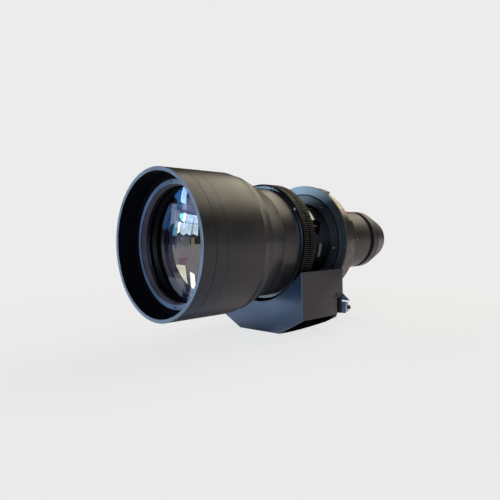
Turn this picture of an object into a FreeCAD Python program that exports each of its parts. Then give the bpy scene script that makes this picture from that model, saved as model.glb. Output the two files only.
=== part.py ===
"""A motorised zoom projection lens for a large projector.

The lens lies along the Y axis: its hood looks toward -Y, its rear barrel goes into the projector
toward +Y, and its drive box hangs toward -Z. The origin is on the optical axis, in the plane of
the rear seat of the bayonet ring. Lengths are millimetres and angles are degrees.

A place along the lens is called a station: the distance behind the front rim of the hood.
"""
import FreeCAD, Part
import Sketcher
import math
import os
from types import SimpleNamespace

Vector = FreeCAD.Vector

SIZES = {
    # the bayonet's rear seat, which is the plane of the origin
    "seat_station": 235.0,
    # gaps: parts that are screwed together, parts that slide, parts that face each other in motion
    "fixed_gap": 0.05,
    "slide_gap": 0.3,
    "shaft_gap": 0.06,
    # hood and front barrel
    "hood_radius": 75.0,
    "hood_wall": 3.8,
    "rim_bevel": 0.4,
    "hood_split": 15.3,
    "spigot_length": 6.0,
    "spigot_wall": 1.8,
    "joint_groove": 0.25,
    "line_station": 28.5,
    "line_depth": 0.14,
    "shoulder_start": 76.0,
    "shoulder_round": 34.0,
    "cone_angle": 20.8,
    "tail_wall": 1.6,
    "bell_end": 141.0,
    "front_wall": 5.0,
    "cell_bore_end": 78.0,
    "cell_stop": 3.0,
    "guide_start": 112.0,
    "sleeve_wall": 1.3,
    "key_pin_radius": 2.0,
    "key_pin_station": 114.5,
    "key_slot_depth": 13.5,
    # front lens group
    "front_glass_wall": 2.7,
    "front_glass_apex": 23.4,
    "front_glass_curve": 487.0,
    "front_glass_depth": 8.0,
    "front_glass_back_curve": 400.0,
    "ring_face": 21.4,
    "front_cell_wall": 5.3,
    "ring_width": 4.8,
    "ring_step": 1.1,
    "ring_lip": 1.6,
    "spanner_notch": 2.4,
    "group_wall": 5.0,
    "group_lip": 3.0,
    "second_apex": 33.0,
    "second_curve": 200.0,
    "second_depth": 8.0,
    "second_back_curve": 400.0,
    "third_apex": 60.0,
    "third_curve": 220.0,
    "third_depth": 16.0,
    "third_back_curve": 300.0,
    # toothed rings
    "tooth_module": 0.7,
    "ring_teeth": 188.0,
    "pinion_teeth": 20.0,
    "sensor_teeth": 16.0,
    "focus_ring_start": 142.5,
    "focus_ring_width": 9.0,
    "ring_groove": 0.9,
    "zoom_ring_width": 9.2,
    "helicoid_length": 20.5,
    "index_dot_radius": 1.1,
    "index_dot_angle": 33.0,
    # fixed main barrel and the zoom works inside it
    "main_radius": 58.0,
    "main_wall": 4.0,
    "main_start": 104.0,
    "web_thickness": 4.3,
    "guide_radius": 43.95,
    "guide_wall": 3.95,
    "guide_start_station": 150.0,
    "cam_wall": 2.75,
    "cam_flange_width": 6.0,
    "cam_flange": 2.5,
    "drive_plate_rim": 6.0,
    "drive_plate": 2.4,
    "zoom_turn": 40.0,
    "front_follower_angle": 30.0,
    "rear_follower_angle": 55.0,
    "window_station": 186.0,
    "window_rise": 8.5,
    "window_angle": 12.0,
    "window_turn": 20.0,
    "window_half_width": 7.2,
    "index_line_station": 186.0,
    "index_line_length": 11.0,
    "index_line_angle": 22.3,
    "index_line_turn": 1.6,
    "scale_station": 183.0,
    "scale_length": 8.5,
    "scale_angle": 30.0,
    "scale_turn": 18.0,
    "scale_thickness": 1.5,
    "end_stop_station": 191.0,
    "end_stop_length": 4.0,
    "end_stop_angle": -23.0,
    "end_stop_turn": 19.0,
    "front_cell_station": 172.0,
    "front_cell_travel": 8.0,
    "rear_cell_station": 194.0,
    "rear_cell_travel": 6.0,
    "zoom_cell_length": 16.0,
    "zoom_glass_wall": 5.0,
    "zoom_glass_depth": 10.0,
    "front_zoom_curve": 120.0,
    "front_zoom_back_curve": 150.0,
    "rear_zoom_curve": 150.0,
    "rear_zoom_back_curve": 110.0,
    "glass_lip": 2.0,
    "glass_setback": 2.0,
    "follower_radius": 2.0,
    "follower_gap": 0.2,
    # mounting flange, bayonet ring and retainer
    "flange_face": 215.8,
    "flange_radius": 68.5,
    "flange_thickness": 2.5,
    "retainer_width": 9.5,
    "retainer_thickness": 2.8,
    "bayonet_inset": 1.2,
    "bayonet_wall": 7.3,
    "bayonet_notch": 3.0,
    "notch_angle": 20.0,
    "notch_turn": 42.0,
    # rear barrel
    "barrel_radius": 38.8,
    "barrel_wall": 3.0,
    "barrel_flange": 5.0,
    "barrel_seat_step": 0.8,
    "barrel_end": 312.9,
    "relay_start": 240.0,
    "relay_length": 26.0,
    "relay_glass_wall": 4.3,
    "relay_glass_depth": 14.0,
    "front_relay_curve": 90.0,
    "front_relay_back_curve": 160.0,
    "rear_relay_curve": 140.0,
    "rear_relay_back_curve": 80.0,
    "stop_thickness": 1.5,
    "stop_radius": 17.0,
    "lock_ring": 4.0,
    "collar_step": 1.8,
    "collar_length": 9.6,
    "cap_inset": 0.2,
    "cap_straight": 11.5,
    "cap_length": 43.8,
    "cap_taper": 11.1,
    "rear_glass_wall": 2.5,
    "rear_glass_setback": 16.3,
    "rear_glass_curve": 60.0,
    "rear_glass_depth": 11.0,
    "rear_glass_back_curve": 150.0,
    "set_screw_station": 282.0,
    # drive box
    "box_half_width": 66.2,
    "box_top": 33.0,
    "box_side": 84.5,
    "box_floor": 102.0,
    "box_floor_half": 31.3,
    "box_front": 136.5,
    "front_plate": 1.5,
    "plate_shadow_gap": 0.4,
    "box_end": 209.5,
    "sheet": 1.5,
    "opening_gap": 1.1,
    "box_opening_half": 47.0,
    "bow_radius": 190.0,
    "bow_station": 160.0,
    "bow_depth": 103.6,
    "notch_start": 198.0,
    "notch_top": 66.0,
    "box_screw_station": 199.5,
    "box_screw_drop": 62.0,
    "motor_plate_start": 167.5,
    "motor_plate": 3.0,
    "motor_angle": 25.0,
    "sensor_angle": 42.0,
    "motor_radius": 12.0,
    "gearbox_length": 15.5,
    "motor_length": 29.5,
    "can_radius": 10.5,
    "shaft_radius": 1.5,
    "pinion_width": 7.0,
    "sensor_radius": 8.0,
    "sensor_length": 10.0,
    "pillar_radius": 3.5,
    "thread_depth": 7.0,
    "shaft_depth": 6.0,
    "flange_pillar_inset": 5.7,
    "flange_pillar_angle": 37.235,
    "front_pillar_inset": 8.7,
    "front_pillar_height": 45.0,
    "low_pillar_half": 40.0,
    "low_pillar_rise": 15.0,
    "board_thickness": 1.6,
    "board_gap": 1.4,
    "board_half": 32.0,
    "board_low": 92.0,
    "board_high": 68.0,
    "spacer_radius": 2.0,
    "spacer_inset": 3.0,
    "header_length": 22.0,
    "header_depth": 4.0,
    "header_height": 6.0,
    # docking connector on its bracket
    "bracket": 1.5,
    "tab_half_far": 69.0,
    "tab_half_near": 44.0,
    "tab_low": 84.5,
    "tab_high": 71.2,
    "ear_low": 69.4,
    "ear_high": 61.7,
    "ear_tip": 75.0,
    "ear_apex": 66.0,
    "dock_length": 7.0,
    "dock_depth": 5.5,
    "dock_wall": 1.5,
    "dock_back": 1.0,
    "contact_length": 1.0,
    "contact_radius": 0.5,
    "side_washer_radius": 3.2,
    "side_washer": 2.0,
    "side_head_radius": 2.6,
    "side_head": 2.5,
    # screws
    "small_screw": 1.0,
    "screw": 1.5,
}

doc = FreeCAD.newDocument("ProjectionLens")
sheet = doc.addObject("Spreadsheet::Sheet", "Sizes")


class Size:
    """A size: its number now, and its formula over the cells of the sheet."""

    def __init__(self, number, formula):
        self.number = float(number)
        self.formula = formula

    def __add__(self, other):
        return joined(self, "+", other)

    def __radd__(self, other):
        return joined(other, "+", self)

    def __sub__(self, other):
        return joined(self, "-", other)

    def __rsub__(self, other):
        return joined(other, "-", self)

    def __mul__(self, other):
        return joined(self, "*", other)

    def __rmul__(self, other):
        return joined(other, "*", self)

    def __truediv__(self, other):
        return joined(self, "/", other)

    def __neg__(self):
        return joined(0, "-", self)


def as_size(value):
    """A plain number as a size."""
    if isinstance(value, Size):
        return value
    return Size(value, f"({float(value)!r})")


def joined(first, sign, second):
    """Two sizes joined by a sign, as number and as formula."""
    a = as_size(first)
    b = as_size(second)
    numbers = {"+": lambda: a.number + b.number, "-": lambda: a.number - b.number,
               "*": lambda: a.number * b.number, "/": lambda: a.number / b.number}
    return Size(numbers[sign](), f"({a.formula} {sign} {b.formula})")


def square_root(size):
    """The square root of a size."""
    return Size(math.sqrt(size.number), f"sqrt({size.formula})")


def cosine(angle):
    """The cosine of an angle in degrees."""
    angle = as_size(angle)
    return Size(math.cos(math.radians(angle.number)), f"cos({angle.formula})")


def sine(angle):
    """The sine of an angle in degrees."""
    angle = as_size(angle)
    return Size(math.sin(math.radians(angle.number)), f"sin({angle.formula})")


def fill_sheet():
    """Write every driving size into the sheet, and give back a size for each name."""
    for row, (name, number) in enumerate(SIZES.items(), start=1):
        sheet.set(f"A{row}", name)
        sheet.set(f"B{row}", repr(number))
        sheet.setAlias(f"B{row}", name)
    doc.recompute()
    return SimpleNamespace(**{name: Size(sheet.get(name), f"Sizes.{name}") for name in SIZES})


def derive_sizes(d):
    """Give a name to each radius and station that follows from the driving sizes."""
    d.mouth_radius = d.hood_radius - d.hood_wall
    d.spigot_radius = d.mouth_radius + d.spigot_wall
    d.cell_bore = d.hood_radius - d.front_wall
    d.cell_stop_radius = d.cell_bore - d.cell_stop
    d.ring_outer_radius = d.cell_bore - d.front_cell_wall
    d.ring_inner_radius = d.ring_outer_radius - d.ring_width
    d.ring_lip_radius = d.ring_inner_radius - d.ring_lip
    d.front_glass_radius = d.ring_outer_radius - d.front_glass_wall
    d.group_radius = d.front_glass_radius - d.group_wall
    d.sleeve_bore = d.main_radius + d.slide_gap
    d.sleeve_radius = d.sleeve_bore + d.sleeve_wall
    d.tail_bore = d.sleeve_radius + d.slide_gap
    d.tail_radius = d.tail_bore + d.tail_wall
    d.guide_bore = d.guide_radius - d.guide_wall
    d.cam_bore = d.guide_radius + d.slide_gap
    d.cam_radius = d.cam_bore + d.cam_wall
    d.cam_flange_radius = d.cam_radius + d.cam_flange_width
    d.cam_end = d.flange_face - d.slide_gap
    d.drive_plate_radius = d.main_radius + d.drive_plate_rim
    d.zoom_glass_radius = d.guide_bore - d.zoom_glass_wall
    d.retainer_radius = d.cam_radius + d.retainer_width
    d.bayonet_radius = d.flange_radius - d.bayonet_inset
    d.bayonet_bore = d.bayonet_radius - d.bayonet_wall
    d.barrel_bore = d.barrel_radius - d.barrel_wall
    d.relay_glass_radius = d.barrel_bore - d.relay_glass_wall
    d.collar_radius = d.barrel_radius - d.collar_step
    d.collar_end = d.barrel_end + d.collar_length
    d.cap_radius = d.barrel_radius - d.cap_inset
    d.rear_end = d.collar_end + d.cap_length
    d.rear_radius = d.cap_radius - d.cap_taper
    d.rear_glass_radius = d.rear_radius - d.rear_glass_wall
    d.rear_glass_apex = d.rear_end - d.rear_glass_setback
    d.ring_tip = d.tooth_module * (d.ring_teeth / 2 + 1)
    d.box_opening_radius = d.ring_tip + d.opening_gap
    d.flange_pillar_reach = d.flange_radius - d.flange_pillar_inset
    d.front_pillar_half = d.box_half_width - d.front_pillar_inset
    d.low_pillar_depth = d.box_floor - d.low_pillar_rise
    return d


d = derive_sizes(fill_sheet())
ALONG_LENS = FreeCAD.Rotation(Vector(1, 0, 0), -90)
parts = []


def keep(thing, label):
    """Name a finished piece and add it to the parts that are written."""
    thing.Label = label
    parts.append(thing)
    return thing


def bind(thing, path, size):
    """Tie one property of an object to a size."""
    thing.setExpression(path, as_size(size).formula)


def place(thing, x=0, station=0, z=0, rotation=None):
    """Put an object at a place across the lens (x, z) and at a station along it."""
    if rotation is not None:
        thing.Placement = FreeCAD.Placement(Vector(0, 0, 0), rotation)
    bind(thing, "Placement.Base.x", x)
    bind(thing, "Placement.Base.y", station - d.seat_station)
    bind(thing, "Placement.Base.z", z)
    return thing


def origin_plane(body, role):
    """One of a body's own origin planes."""
    return next(plane for plane in body.Origin.OriginFeatures if plane.Role == role)


def curve_between(start, end, radius, side):
    """The arc between two corners; side 1 bows to the left of the way from start to end, -1 to the right."""
    half = (end - start).Length / 2
    left = Vector(start.y - end.y, end.x - start.x, 0).normalize()
    centre = (start + end) * 0.5 - left * (side * math.sqrt(radius * radius - half * half))
    first, last = (end, start) if side > 0 else (start, end)
    angles = [math.atan2(spot.y - centre.y, spot.x - centre.x) for spot in (first, last)]
    if angles[1] < angles[0]:
        angles[1] += 2 * math.pi
    return Part.ArcOfCircle(Part.Circle(centre, Vector(0, 0, 1), radius), *angles)


def outline_sketch(body, role, outline, curves):
    """A closed outline of bound corners on one of the body's planes.

    curves gives the radius and the side of each edge that is an arc, by the edge's number.
    """
    sketch = body.newObject("Sketcher::SketchObject", "Outline")
    sketch.AttachmentSupport = [(origin_plane(body, role), "")]
    sketch.MapMode = "FlatFace"
    corners = [(as_size(u), as_size(v)) for u, v in outline]
    spots = [Vector(u.number, v.number, 0) for u, v in corners]
    ends = []
    for edge, start in enumerate(spots):
        end = spots[(edge + 1) % len(spots)]
        if edge in curves:
            radius, side = curves[edge]
            sketch.addGeometry(curve_between(start, end, radius.number, side))
            ends.append((2, 1) if side > 0 else (1, 2))
        else:
            sketch.addGeometry(Part.LineSegment(start, end))
            ends.append((1, 2))
    rules = []
    formulas = []
    for edge, (u, v) in enumerate(corners):
        after = (edge + 1) % len(corners)
        rules.append(Sketcher.Constraint("Coincident", edge, ends[edge][1], after, ends[after][0]))
        if u.formula == as_size(0).formula:
            rules.append(Sketcher.Constraint("PointOnObject", edge, ends[edge][0], -2))
        else:
            formulas.append((len(rules), u))
            rules.append(Sketcher.Constraint("DistanceX", -1, 1, edge, ends[edge][0], u.number))
        formulas.append((len(rules), v))
        rules.append(Sketcher.Constraint("DistanceY", -1, 1, edge, ends[edge][0], v.number))
    for edge, (radius, _) in curves.items():
        formulas.append((len(rules), radius))
        rules.append(Sketcher.Constraint("Radius", edge, radius.number))
    sketch.addConstraint(rules)
    for number, size in formulas:
        sketch.setExpression(f"Constraints[{number}]", size.formula)
    return sketch


def turned(label, outline, curves=None, x=0, z=0):
    """A piece turned round the lens axis, or round an axis through (x, z) along it.

    outline is a list of (radius, station) corners.
    """
    body = doc.addObject("PartDesign::Body", label)
    sketch = outline_sketch(body, "XY_Plane", outline, curves or {})
    turn = body.newObject("PartDesign::Revolution", "Turn")
    turn.Profile = sketch
    turn.ReferenceAxis = (sketch, ["V_Axis"])
    turn.Angle = 360
    sketch.Visibility = False
    return place(body, x, 0, z)


def tube(label, inner, outer, start, end, x=0, z=0):
    """A plain ring or tube; an inner radius of 0 gives a solid bar."""
    return turned(label, [(inner, start), (outer, start), (outer, end), (inner, end)], x=x, z=z)


def plate(label, outline, start, thickness):
    """A flat plate across the lens, from an outline of (x, z) corners."""
    body = doc.addObject("PartDesign::Body", label)
    sketch = outline_sketch(body, "XZ_Plane", outline, {})
    pad = body.newObject("PartDesign::Pad", "Thickness")
    pad.Profile = sketch
    pad.Reversed = True
    bind(pad, "Length", thickness)
    return place(body, 0, start, 0)


def bar(radius, start, length, x=0, z=0):
    """A round bar along the lens."""
    cylinder = doc.addObject("Part::Cylinder", "Bar")
    bind(cylinder, "Radius", radius)
    bind(cylinder, "Height", length)
    return place(cylinder, x, start, z, ALONG_LENS)


def spoke(radius, inner, outer, station, angle):
    """A round bar that points away from the lens axis, from one radius to another."""
    cylinder = doc.addObject("Part::Cylinder", "Spoke")
    bind(cylinder, "Radius", radius)
    bind(cylinder, "Height", outer - inner)
    turn = FreeCAD.Rotation(Vector(0, 1, 0), 90 - as_size(angle).number)
    return place(cylinder, inner * cosine(angle), station, inner * sine(angle), turn)


def across(radius, length, x, station, z):
    """A round bar across the lens along X; a length below zero goes toward -X."""
    cylinder = doc.addObject("Part::Cylinder", "CrossBar")
    length = as_size(length)
    backward = length.number < 0
    bind(cylinder, "Radius", radius)
    bind(cylinder, "Height", -length if backward else length)
    return place(cylinder, x, station, z, FreeCAD.Rotation(Vector(0, 1, 0), -90 if backward else 90))


def block(low, size):
    """A block from its low corner (x, station, z) and its size."""
    box = doc.addObject("Part::Box", "Block")
    for name, length in zip(("Length", "Width", "Height"), size):
        bind(box, name, length)
    return place(box, *low)


def sector(inner, outer, start, length, angle, turn):
    """Part of a ring, from an angle and through a turn, both measured from +X toward +Z."""
    solid = doc.addObject("Part::Cylinder", "SectorOuter")
    core = doc.addObject("Part::Cylinder", "SectorInner")
    rotation = FreeCAD.Rotation(Vector(0, 1, 0), -as_size(angle + turn).number)
    for cylinder, radius in ((solid, outer), (core, inner)):
        bind(cylinder, "Radius", radius)
        bind(cylinder, "Height", length)
    bind(solid, "Angle", turn)
    place(solid, 0, start, 0, rotation.multiply(ALONG_LENS))
    place(core, 0, start, 0, ALONG_LENS)
    return cut(solid, core)


def cut(base, *tools):
    """A piece with tools taken out of it."""
    result = doc.addObject("Part::Cut", "Cut")
    result.Base = base
    result.Tool = tools[0] if len(tools) == 1 else fused(*tools)
    return result


def fused(*pieces):
    """Pieces joined into one."""
    result = doc.addObject("Part::MultiFuse", "Joined")
    result.Shapes = list(pieces)
    return result


def common(first, second):
    """What two pieces share."""
    result = doc.addObject("Part::Common", "Shared")
    result.Base = first
    result.Tool = second
    return result


def group(label, pieces):
    """Separate solids that share one name."""
    result = doc.addObject("Part::Compound", label)
    result.Links = list(pieces)
    return keep(result, label)


def screw(radius, head, start, x, z, shank, way=1):
    """A socket screw along the lens: its head stands on a face and its shank goes back from it.

    way is 1 for a head toward -Y, and -1 for a head toward +Y. The head is as high as its radius.
    """
    if way > 0:
        head_bar = bar(head, start - radius, radius, x, z)
        shank_bar = bar(radius, start, shank, x, z)
        socket_start = start - radius
    else:
        head_bar = bar(head, start, radius, x, z)
        shank_bar = bar(radius, start - shank, shank, x, z)
        socket_start = start + radius * 0.4
    socket = doc.addObject("Part::Prism", "Socket")
    socket.Polygon = 6
    bind(socket, "Circumradius", radius * 0.8)
    bind(socket, "Height", radius * 0.6)
    place(socket, x, socket_start, z, ALONG_LENS)
    return cut(fused(head_bar, shank_bar), socket)


def sag(curve, radius):
    """How far a spherical face falls back at a radius."""
    return curve - square_root(curve * curve - radius * radius)


def lens(label, radius, apex, curve, depth, back_curve, hollow_back=False):
    """A lens element: convex in front, and convex or hollow behind."""
    back = apex + depth
    edge = apex + sag(curve, radius)
    if hollow_back:
        back_edge = back + sag(back_curve, radius)
    else:
        back_edge = back - sag(back_curve, radius)
    outline = [(0, apex), (radius, edge), (radius, back_edge), (0, back)]
    return turned(label, outline, {0: (curve, -1), 2: (back_curve, 1 if hollow_back else -1)})


# hood, front barrel and their joint
cone = d.cone_angle
shoulder_end = d.shoulder_start + d.shoulder_round * sine(cone)
shoulder_radius = d.hood_radius - d.shoulder_round * (1 - cosine(cone))
cone_end = shoulder_end + (shoulder_radius - d.tail_radius) * cosine(cone) / sine(cone)
spigot_end = d.hood_split + d.spigot_length


def make_hood():
    """The separate front hood: a thin ring with a spigot that goes into the front barrel."""
    hood = turned("hood", [
        (d.mouth_radius + d.rim_bevel, 0), (d.hood_radius - d.rim_bevel, 0), (d.hood_radius, d.rim_bevel),
        (d.hood_radius, d.hood_split - d.joint_groove), (d.hood_radius - d.joint_groove, d.hood_split),
        (d.spigot_radius, d.hood_split), (d.spigot_radius, spigot_end),
        (d.mouth_radius, spigot_end), (d.mouth_radius, d.rim_bevel)])
    return keep(hood, "hood")


def make_front_barrel():
    """The bell: a straight front, a rounded shoulder, a cone and a tail that slides on the works."""
    counterbore = d.spigot_radius + d.fixed_gap
    blank = turned("front_barrel_turned", [
        (counterbore, d.hood_split), (d.hood_radius - d.joint_groove, d.hood_split),
        (d.hood_radius, d.hood_split + d.joint_groove), (d.hood_radius, d.line_station - d.line_depth),
        (d.hood_radius - d.line_depth, d.line_station), (d.hood_radius, d.line_station + d.line_depth),
        (d.hood_radius, d.shoulder_start), (shoulder_radius, shoulder_end), (d.tail_radius, cone_end),
        (d.tail_radius, d.bell_end), (d.tail_bore, d.bell_end), (d.tail_bore, d.guide_start),
        (d.cell_stop_radius, d.cell_bore_end), (d.cell_bore, d.cell_bore_end),
        (d.cell_bore, spigot_end + d.fixed_gap), (counterbore, spigot_end + d.fixed_gap)],
        {6: (d.shoulder_round, 1)})
    reach = d.tail_bore + d.sleeve_wall
    hole = d.key_pin_radius + d.fixed_gap
    holes = [spoke(hole, d.main_radius, reach + d.fixed_gap, d.key_pin_station, turn)
             for turn in (90, 210, 330)]
    keep(cut(blank, *holes), "front_barrel")
    pins = [spoke(d.key_pin_radius, d.main_radius - d.main_wall + d.slide_gap, reach, d.key_pin_station, turn)
            for turn in (90, 210, 330)]
    group("focus_key_pins", pins)


# front lens group
cell_outer = d.cell_bore - d.fixed_gap
cell_front = spigot_end + 2 * d.fixed_gap
lip_station = d.front_glass_apex + sag(d.front_glass_curve, d.ring_lip_radius)
front_glass_back = d.front_glass_apex + d.front_glass_depth
seat_radius = d.ring_lip_radius + d.fixed_gap
glass_seat = front_glass_back + sag(d.front_glass_back_curve, d.front_glass_radius)
group_lip_radius = d.group_radius - d.group_lip
second_seat = d.second_apex + sag(d.second_curve, group_lip_radius)
second_back_edge = d.second_apex + d.second_depth + sag(d.second_back_curve, d.group_radius)
third_seat = d.third_apex + sag(d.third_curve, group_lip_radius)
third_back = d.third_apex + d.third_depth
lock_station = third_back - sag(d.third_back_curve, group_lip_radius)


def make_front_group():
    """The cell with its three elements, the spacer between two of them and the two retaining rings."""
    ring_bore = d.ring_outer_radius + d.fixed_gap
    pocket = d.front_glass_radius + d.fixed_gap
    group_pocket = d.group_radius + d.fixed_gap
    cell_end = d.cell_bore_end - d.fixed_gap
    keep(turned("front_cell", [
        (ring_bore, cell_front), (cell_outer, cell_front), (cell_outer, cell_end),
        (group_pocket, cell_end), (group_pocket, second_seat), (group_lip_radius, second_seat),
        (seat_radius, glass_seat + d.group_lip), (seat_radius, glass_seat), (pocket, glass_seat),
        (pocket, lip_station + d.fixed_gap), (ring_bore, lip_station + d.fixed_gap)]), "front_cell")
    keep(lens("front_element", d.front_glass_radius, d.front_glass_apex, d.front_glass_curve,
              d.front_glass_depth, d.front_glass_back_curve, hollow_back=True), "front_element")
    keep(lens("second_element", d.group_radius, d.second_apex, d.second_curve,
              d.second_depth, d.second_back_curve, hollow_back=True), "second_element")
    keep(lens("third_element", d.group_radius, d.third_apex, d.third_curve,
              d.third_depth, d.third_back_curve), "third_element")
    group("front_group_rings", [
        tube("element_spacer", group_lip_radius, d.group_radius, second_back_edge, third_seat),
        tube("group_lock_ring", group_lip_radius, d.group_radius, lock_station, cell_end)])
    step = d.ring_face + d.ring_step
    ring = turned("front_ring_turned", [
        (d.ring_inner_radius, d.ring_face), (d.ring_outer_radius - d.joint_groove, d.ring_face),
        (d.ring_outer_radius, d.ring_face + d.joint_groove),
        (d.ring_outer_radius, lip_station), (d.ring_lip_radius, lip_station),
        (d.ring_inner_radius - d.rim_bevel, step), (d.ring_inner_radius, step)])
    notches = []
    middle = (d.ring_outer_radius + d.ring_inner_radius) / 2
    for turn in (90, 270):
        notches.append(bar(d.spanner_notch / 2, d.ring_face - 1, d.ring_step + 1,
                           middle * cosine(turn), middle * sine(turn)))
    keep(cut(ring, *notches), "front_retaining_ring")


# toothed rings, pinions and sensor gears
PRESSURE_ANGLE = math.radians(20)
TOOTH_THINNING = 0.08
FLANK_STEPS = 4


def half_tooth(teeth, radius):
    """Half the angle of an involute tooth at a radius, in radians."""
    pitch = d.tooth_module.number * teeth / 2
    base = pitch * math.cos(PRESSURE_ANGLE)

    def involute(angle):
        return math.tan(angle) - angle

    there = math.acos(min(1.0, base / radius))
    thickness = math.pi * d.tooth_module.number / 2 - TOOTH_THINNING
    return thickness / (2 * pitch) + involute(PRESSURE_ANGLE) - involute(there)


def toothed_disc(teeth, phase, width):
    """A toothed disc from y = 0, one tooth centred on the phase angle, measured from +X toward +Z."""
    module = d.tooth_module.number
    root = module * (teeth / 2 - 1.25)
    tip = module * (teeth / 2 + 1)
    steps = FLANK_STEPS // 2 if teeth == d.ring_teeth.number else FLANK_STEPS
    flank = [root + (tip - root) * step / steps for step in range(steps + 1)]
    points = []
    for tooth in range(teeth):
        middle = math.radians(phase) + 2 * math.pi * tooth / teeth
        sides = [(radius, middle - half_tooth(teeth, radius)) for radius in flank]
        sides += [(radius, middle + half_tooth(teeth, radius)) for radius in reversed(flank)]
        points += [Vector(radius * math.cos(angle), 0, radius * math.sin(angle)) for radius, angle in sides]
    face = Part.Face(Part.makePolygon(points + points[:1]))
    return face.extrude(Vector(0, width, 0))


def mesh_phase(teeth, direction):
    """The phase of a small gear that meshes with the big ring in a direction from the lens axis."""
    past_tooth = (direction * d.ring_teeth.number / 360) % 1
    return direction + 180 + past_tooth * 360 / teeth + 180 / teeth


def toothed(label, teeth, start, width, phase=0.0, x=0.0, z=0.0):
    """A toothed blank on an axis through (x, z)."""
    feature = doc.addObject("Part::Feature", label)
    feature.Shape = toothed_disc(int(teeth.number), phase, width.number)
    feature.Placement = FreeCAD.Placement(Vector(x, (start - d.seat_station).number, z), FreeCAD.Rotation())
    return feature


focus_ring_end = d.focus_ring_start + d.focus_ring_width
zoom_ring_start = focus_ring_end + d.ring_groove
zoom_ring_end = zoom_ring_start + d.zoom_ring_width
motor_reach = d.tooth_module * (d.ring_teeth + d.pinion_teeth) / 2
sensor_reach = d.tooth_module * (d.ring_teeth + d.sensor_teeth) / 2


def make_toothed_rings():
    """The focus ring on its helicoid sleeve, and the zoom ring, each with its own teeth."""
    for label, start, width, bore in (
            ("focus_gear_ring", d.focus_ring_start, d.focus_ring_width, d.sleeve_radius + d.fixed_gap),
            ("zoom_gear_ring", zoom_ring_start, d.zoom_ring_width, d.sleeve_bore)):
        blank = toothed(label + "_teeth", d.ring_teeth, start, width)
        keep(cut(blank, bar(bore, start - 1, width + 2)), label)
    keep(tube("focus_helicoid_sleeve", d.sleeve_bore, d.sleeve_radius,
              d.focus_ring_start - d.helicoid_length, focus_ring_end), "focus_helicoid_sleeve")
    reach = (d.tail_radius + d.ring_tip) / 2
    dot = bar(d.index_dot_radius, d.focus_ring_start - d.slide_gap, d.slide_gap,
              reach * cosine(d.index_dot_angle), reach * sine(d.index_dot_angle))
    keep(dot, "focus_index_dot")


# the fixed main barrel, the zoom guide tube and the cam tube
web_start = zoom_ring_end - d.slide_gap - d.web_thickness
main_end = zoom_ring_end - d.slide_gap
plate_end = zoom_ring_end + d.drive_plate
flange_back = d.flange_face + d.flange_thickness
cell_radius = d.guide_bore - d.slide_gap
SPOKES = (0, 120, 240)


def follower_station(cell_station):
    """The station of a zoom cell's followers: the middle of the cell."""
    return cell_station + d.zoom_cell_length / 2


def make_main_barrel():
    """The fixed barrel under the toothed rings, with slots for the focus keys and a web at its end."""
    blank = turned("main_barrel_turned", [
        (d.main_radius - d.main_wall, d.main_start), (d.main_radius, d.main_start),
        (d.main_radius, main_end), (d.guide_radius + d.fixed_gap, main_end),
        (d.guide_radius + d.fixed_gap, web_start), (d.main_radius - d.main_wall, web_start)])
    width = 2 * (d.key_pin_radius + d.follower_gap)
    slots = []
    for turn in (90, 210, 330):
        slot = block((d.main_radius - 2 * d.main_wall, d.main_start - 1, -width / 2),
                     (3 * d.main_wall, d.key_slot_depth + 1, width))
        reach = d.main_radius - 2 * d.main_wall
        place(slot, reach * cosine(turn) + width / 2 * sine(turn), d.main_start - 1,
              reach * sine(turn) - width / 2 * cosine(turn), FreeCAD.Rotation(Vector(0, 1, 0), -turn))
        slots.append(slot)
    keep(cut(blank, *slots), "main_barrel")


def straight_slots(cell_station, travel, first):
    """Tools for three straight slots that let a cell's followers move along the lens."""
    radius = d.follower_radius + d.follower_gap
    middle = follower_station(cell_station)
    tools = []
    for turn in SPOKES:
        angle = first + turn
        ends = [spoke(radius, d.guide_bore - 2, d.guide_radius + 2, station, angle)
                for station in (middle, middle + travel)]
        low = middle if travel.number > 0 else middle + travel
        length = travel if travel.number > 0 else -travel
        web = block((0, 0, 0), (d.guide_radius - d.guide_bore + 4, length, 2 * radius))
        reach = d.guide_bore - 2
        place(web, reach * cosine(angle) + radius * sine(angle), low,
              reach * sine(angle) - radius * cosine(angle),
              FreeCAD.Rotation(Vector(0, 1, 0), -angle.number))
        tools += ends + [web]
    return tools


def make_guide_tube():
    """The fixed tube that the zoom cells slide in."""
    blank = tube("guide_tube_turned", d.guide_bore, d.guide_radius, d.guide_start_station, flange_back)
    tools = straight_slots(d.front_cell_station, -d.front_cell_travel, d.front_follower_angle)
    tools += straight_slots(d.rear_cell_station, d.rear_cell_travel, d.rear_follower_angle)
    keep(cut(blank, *tools), "zoom_guide_tube")
    line = sector(d.guide_radius, d.guide_radius + d.slide_gap / 2, d.index_line_station,
                  d.index_line_length, d.index_line_angle, d.index_line_turn)
    keep(line, "zoom_index_line")


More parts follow.
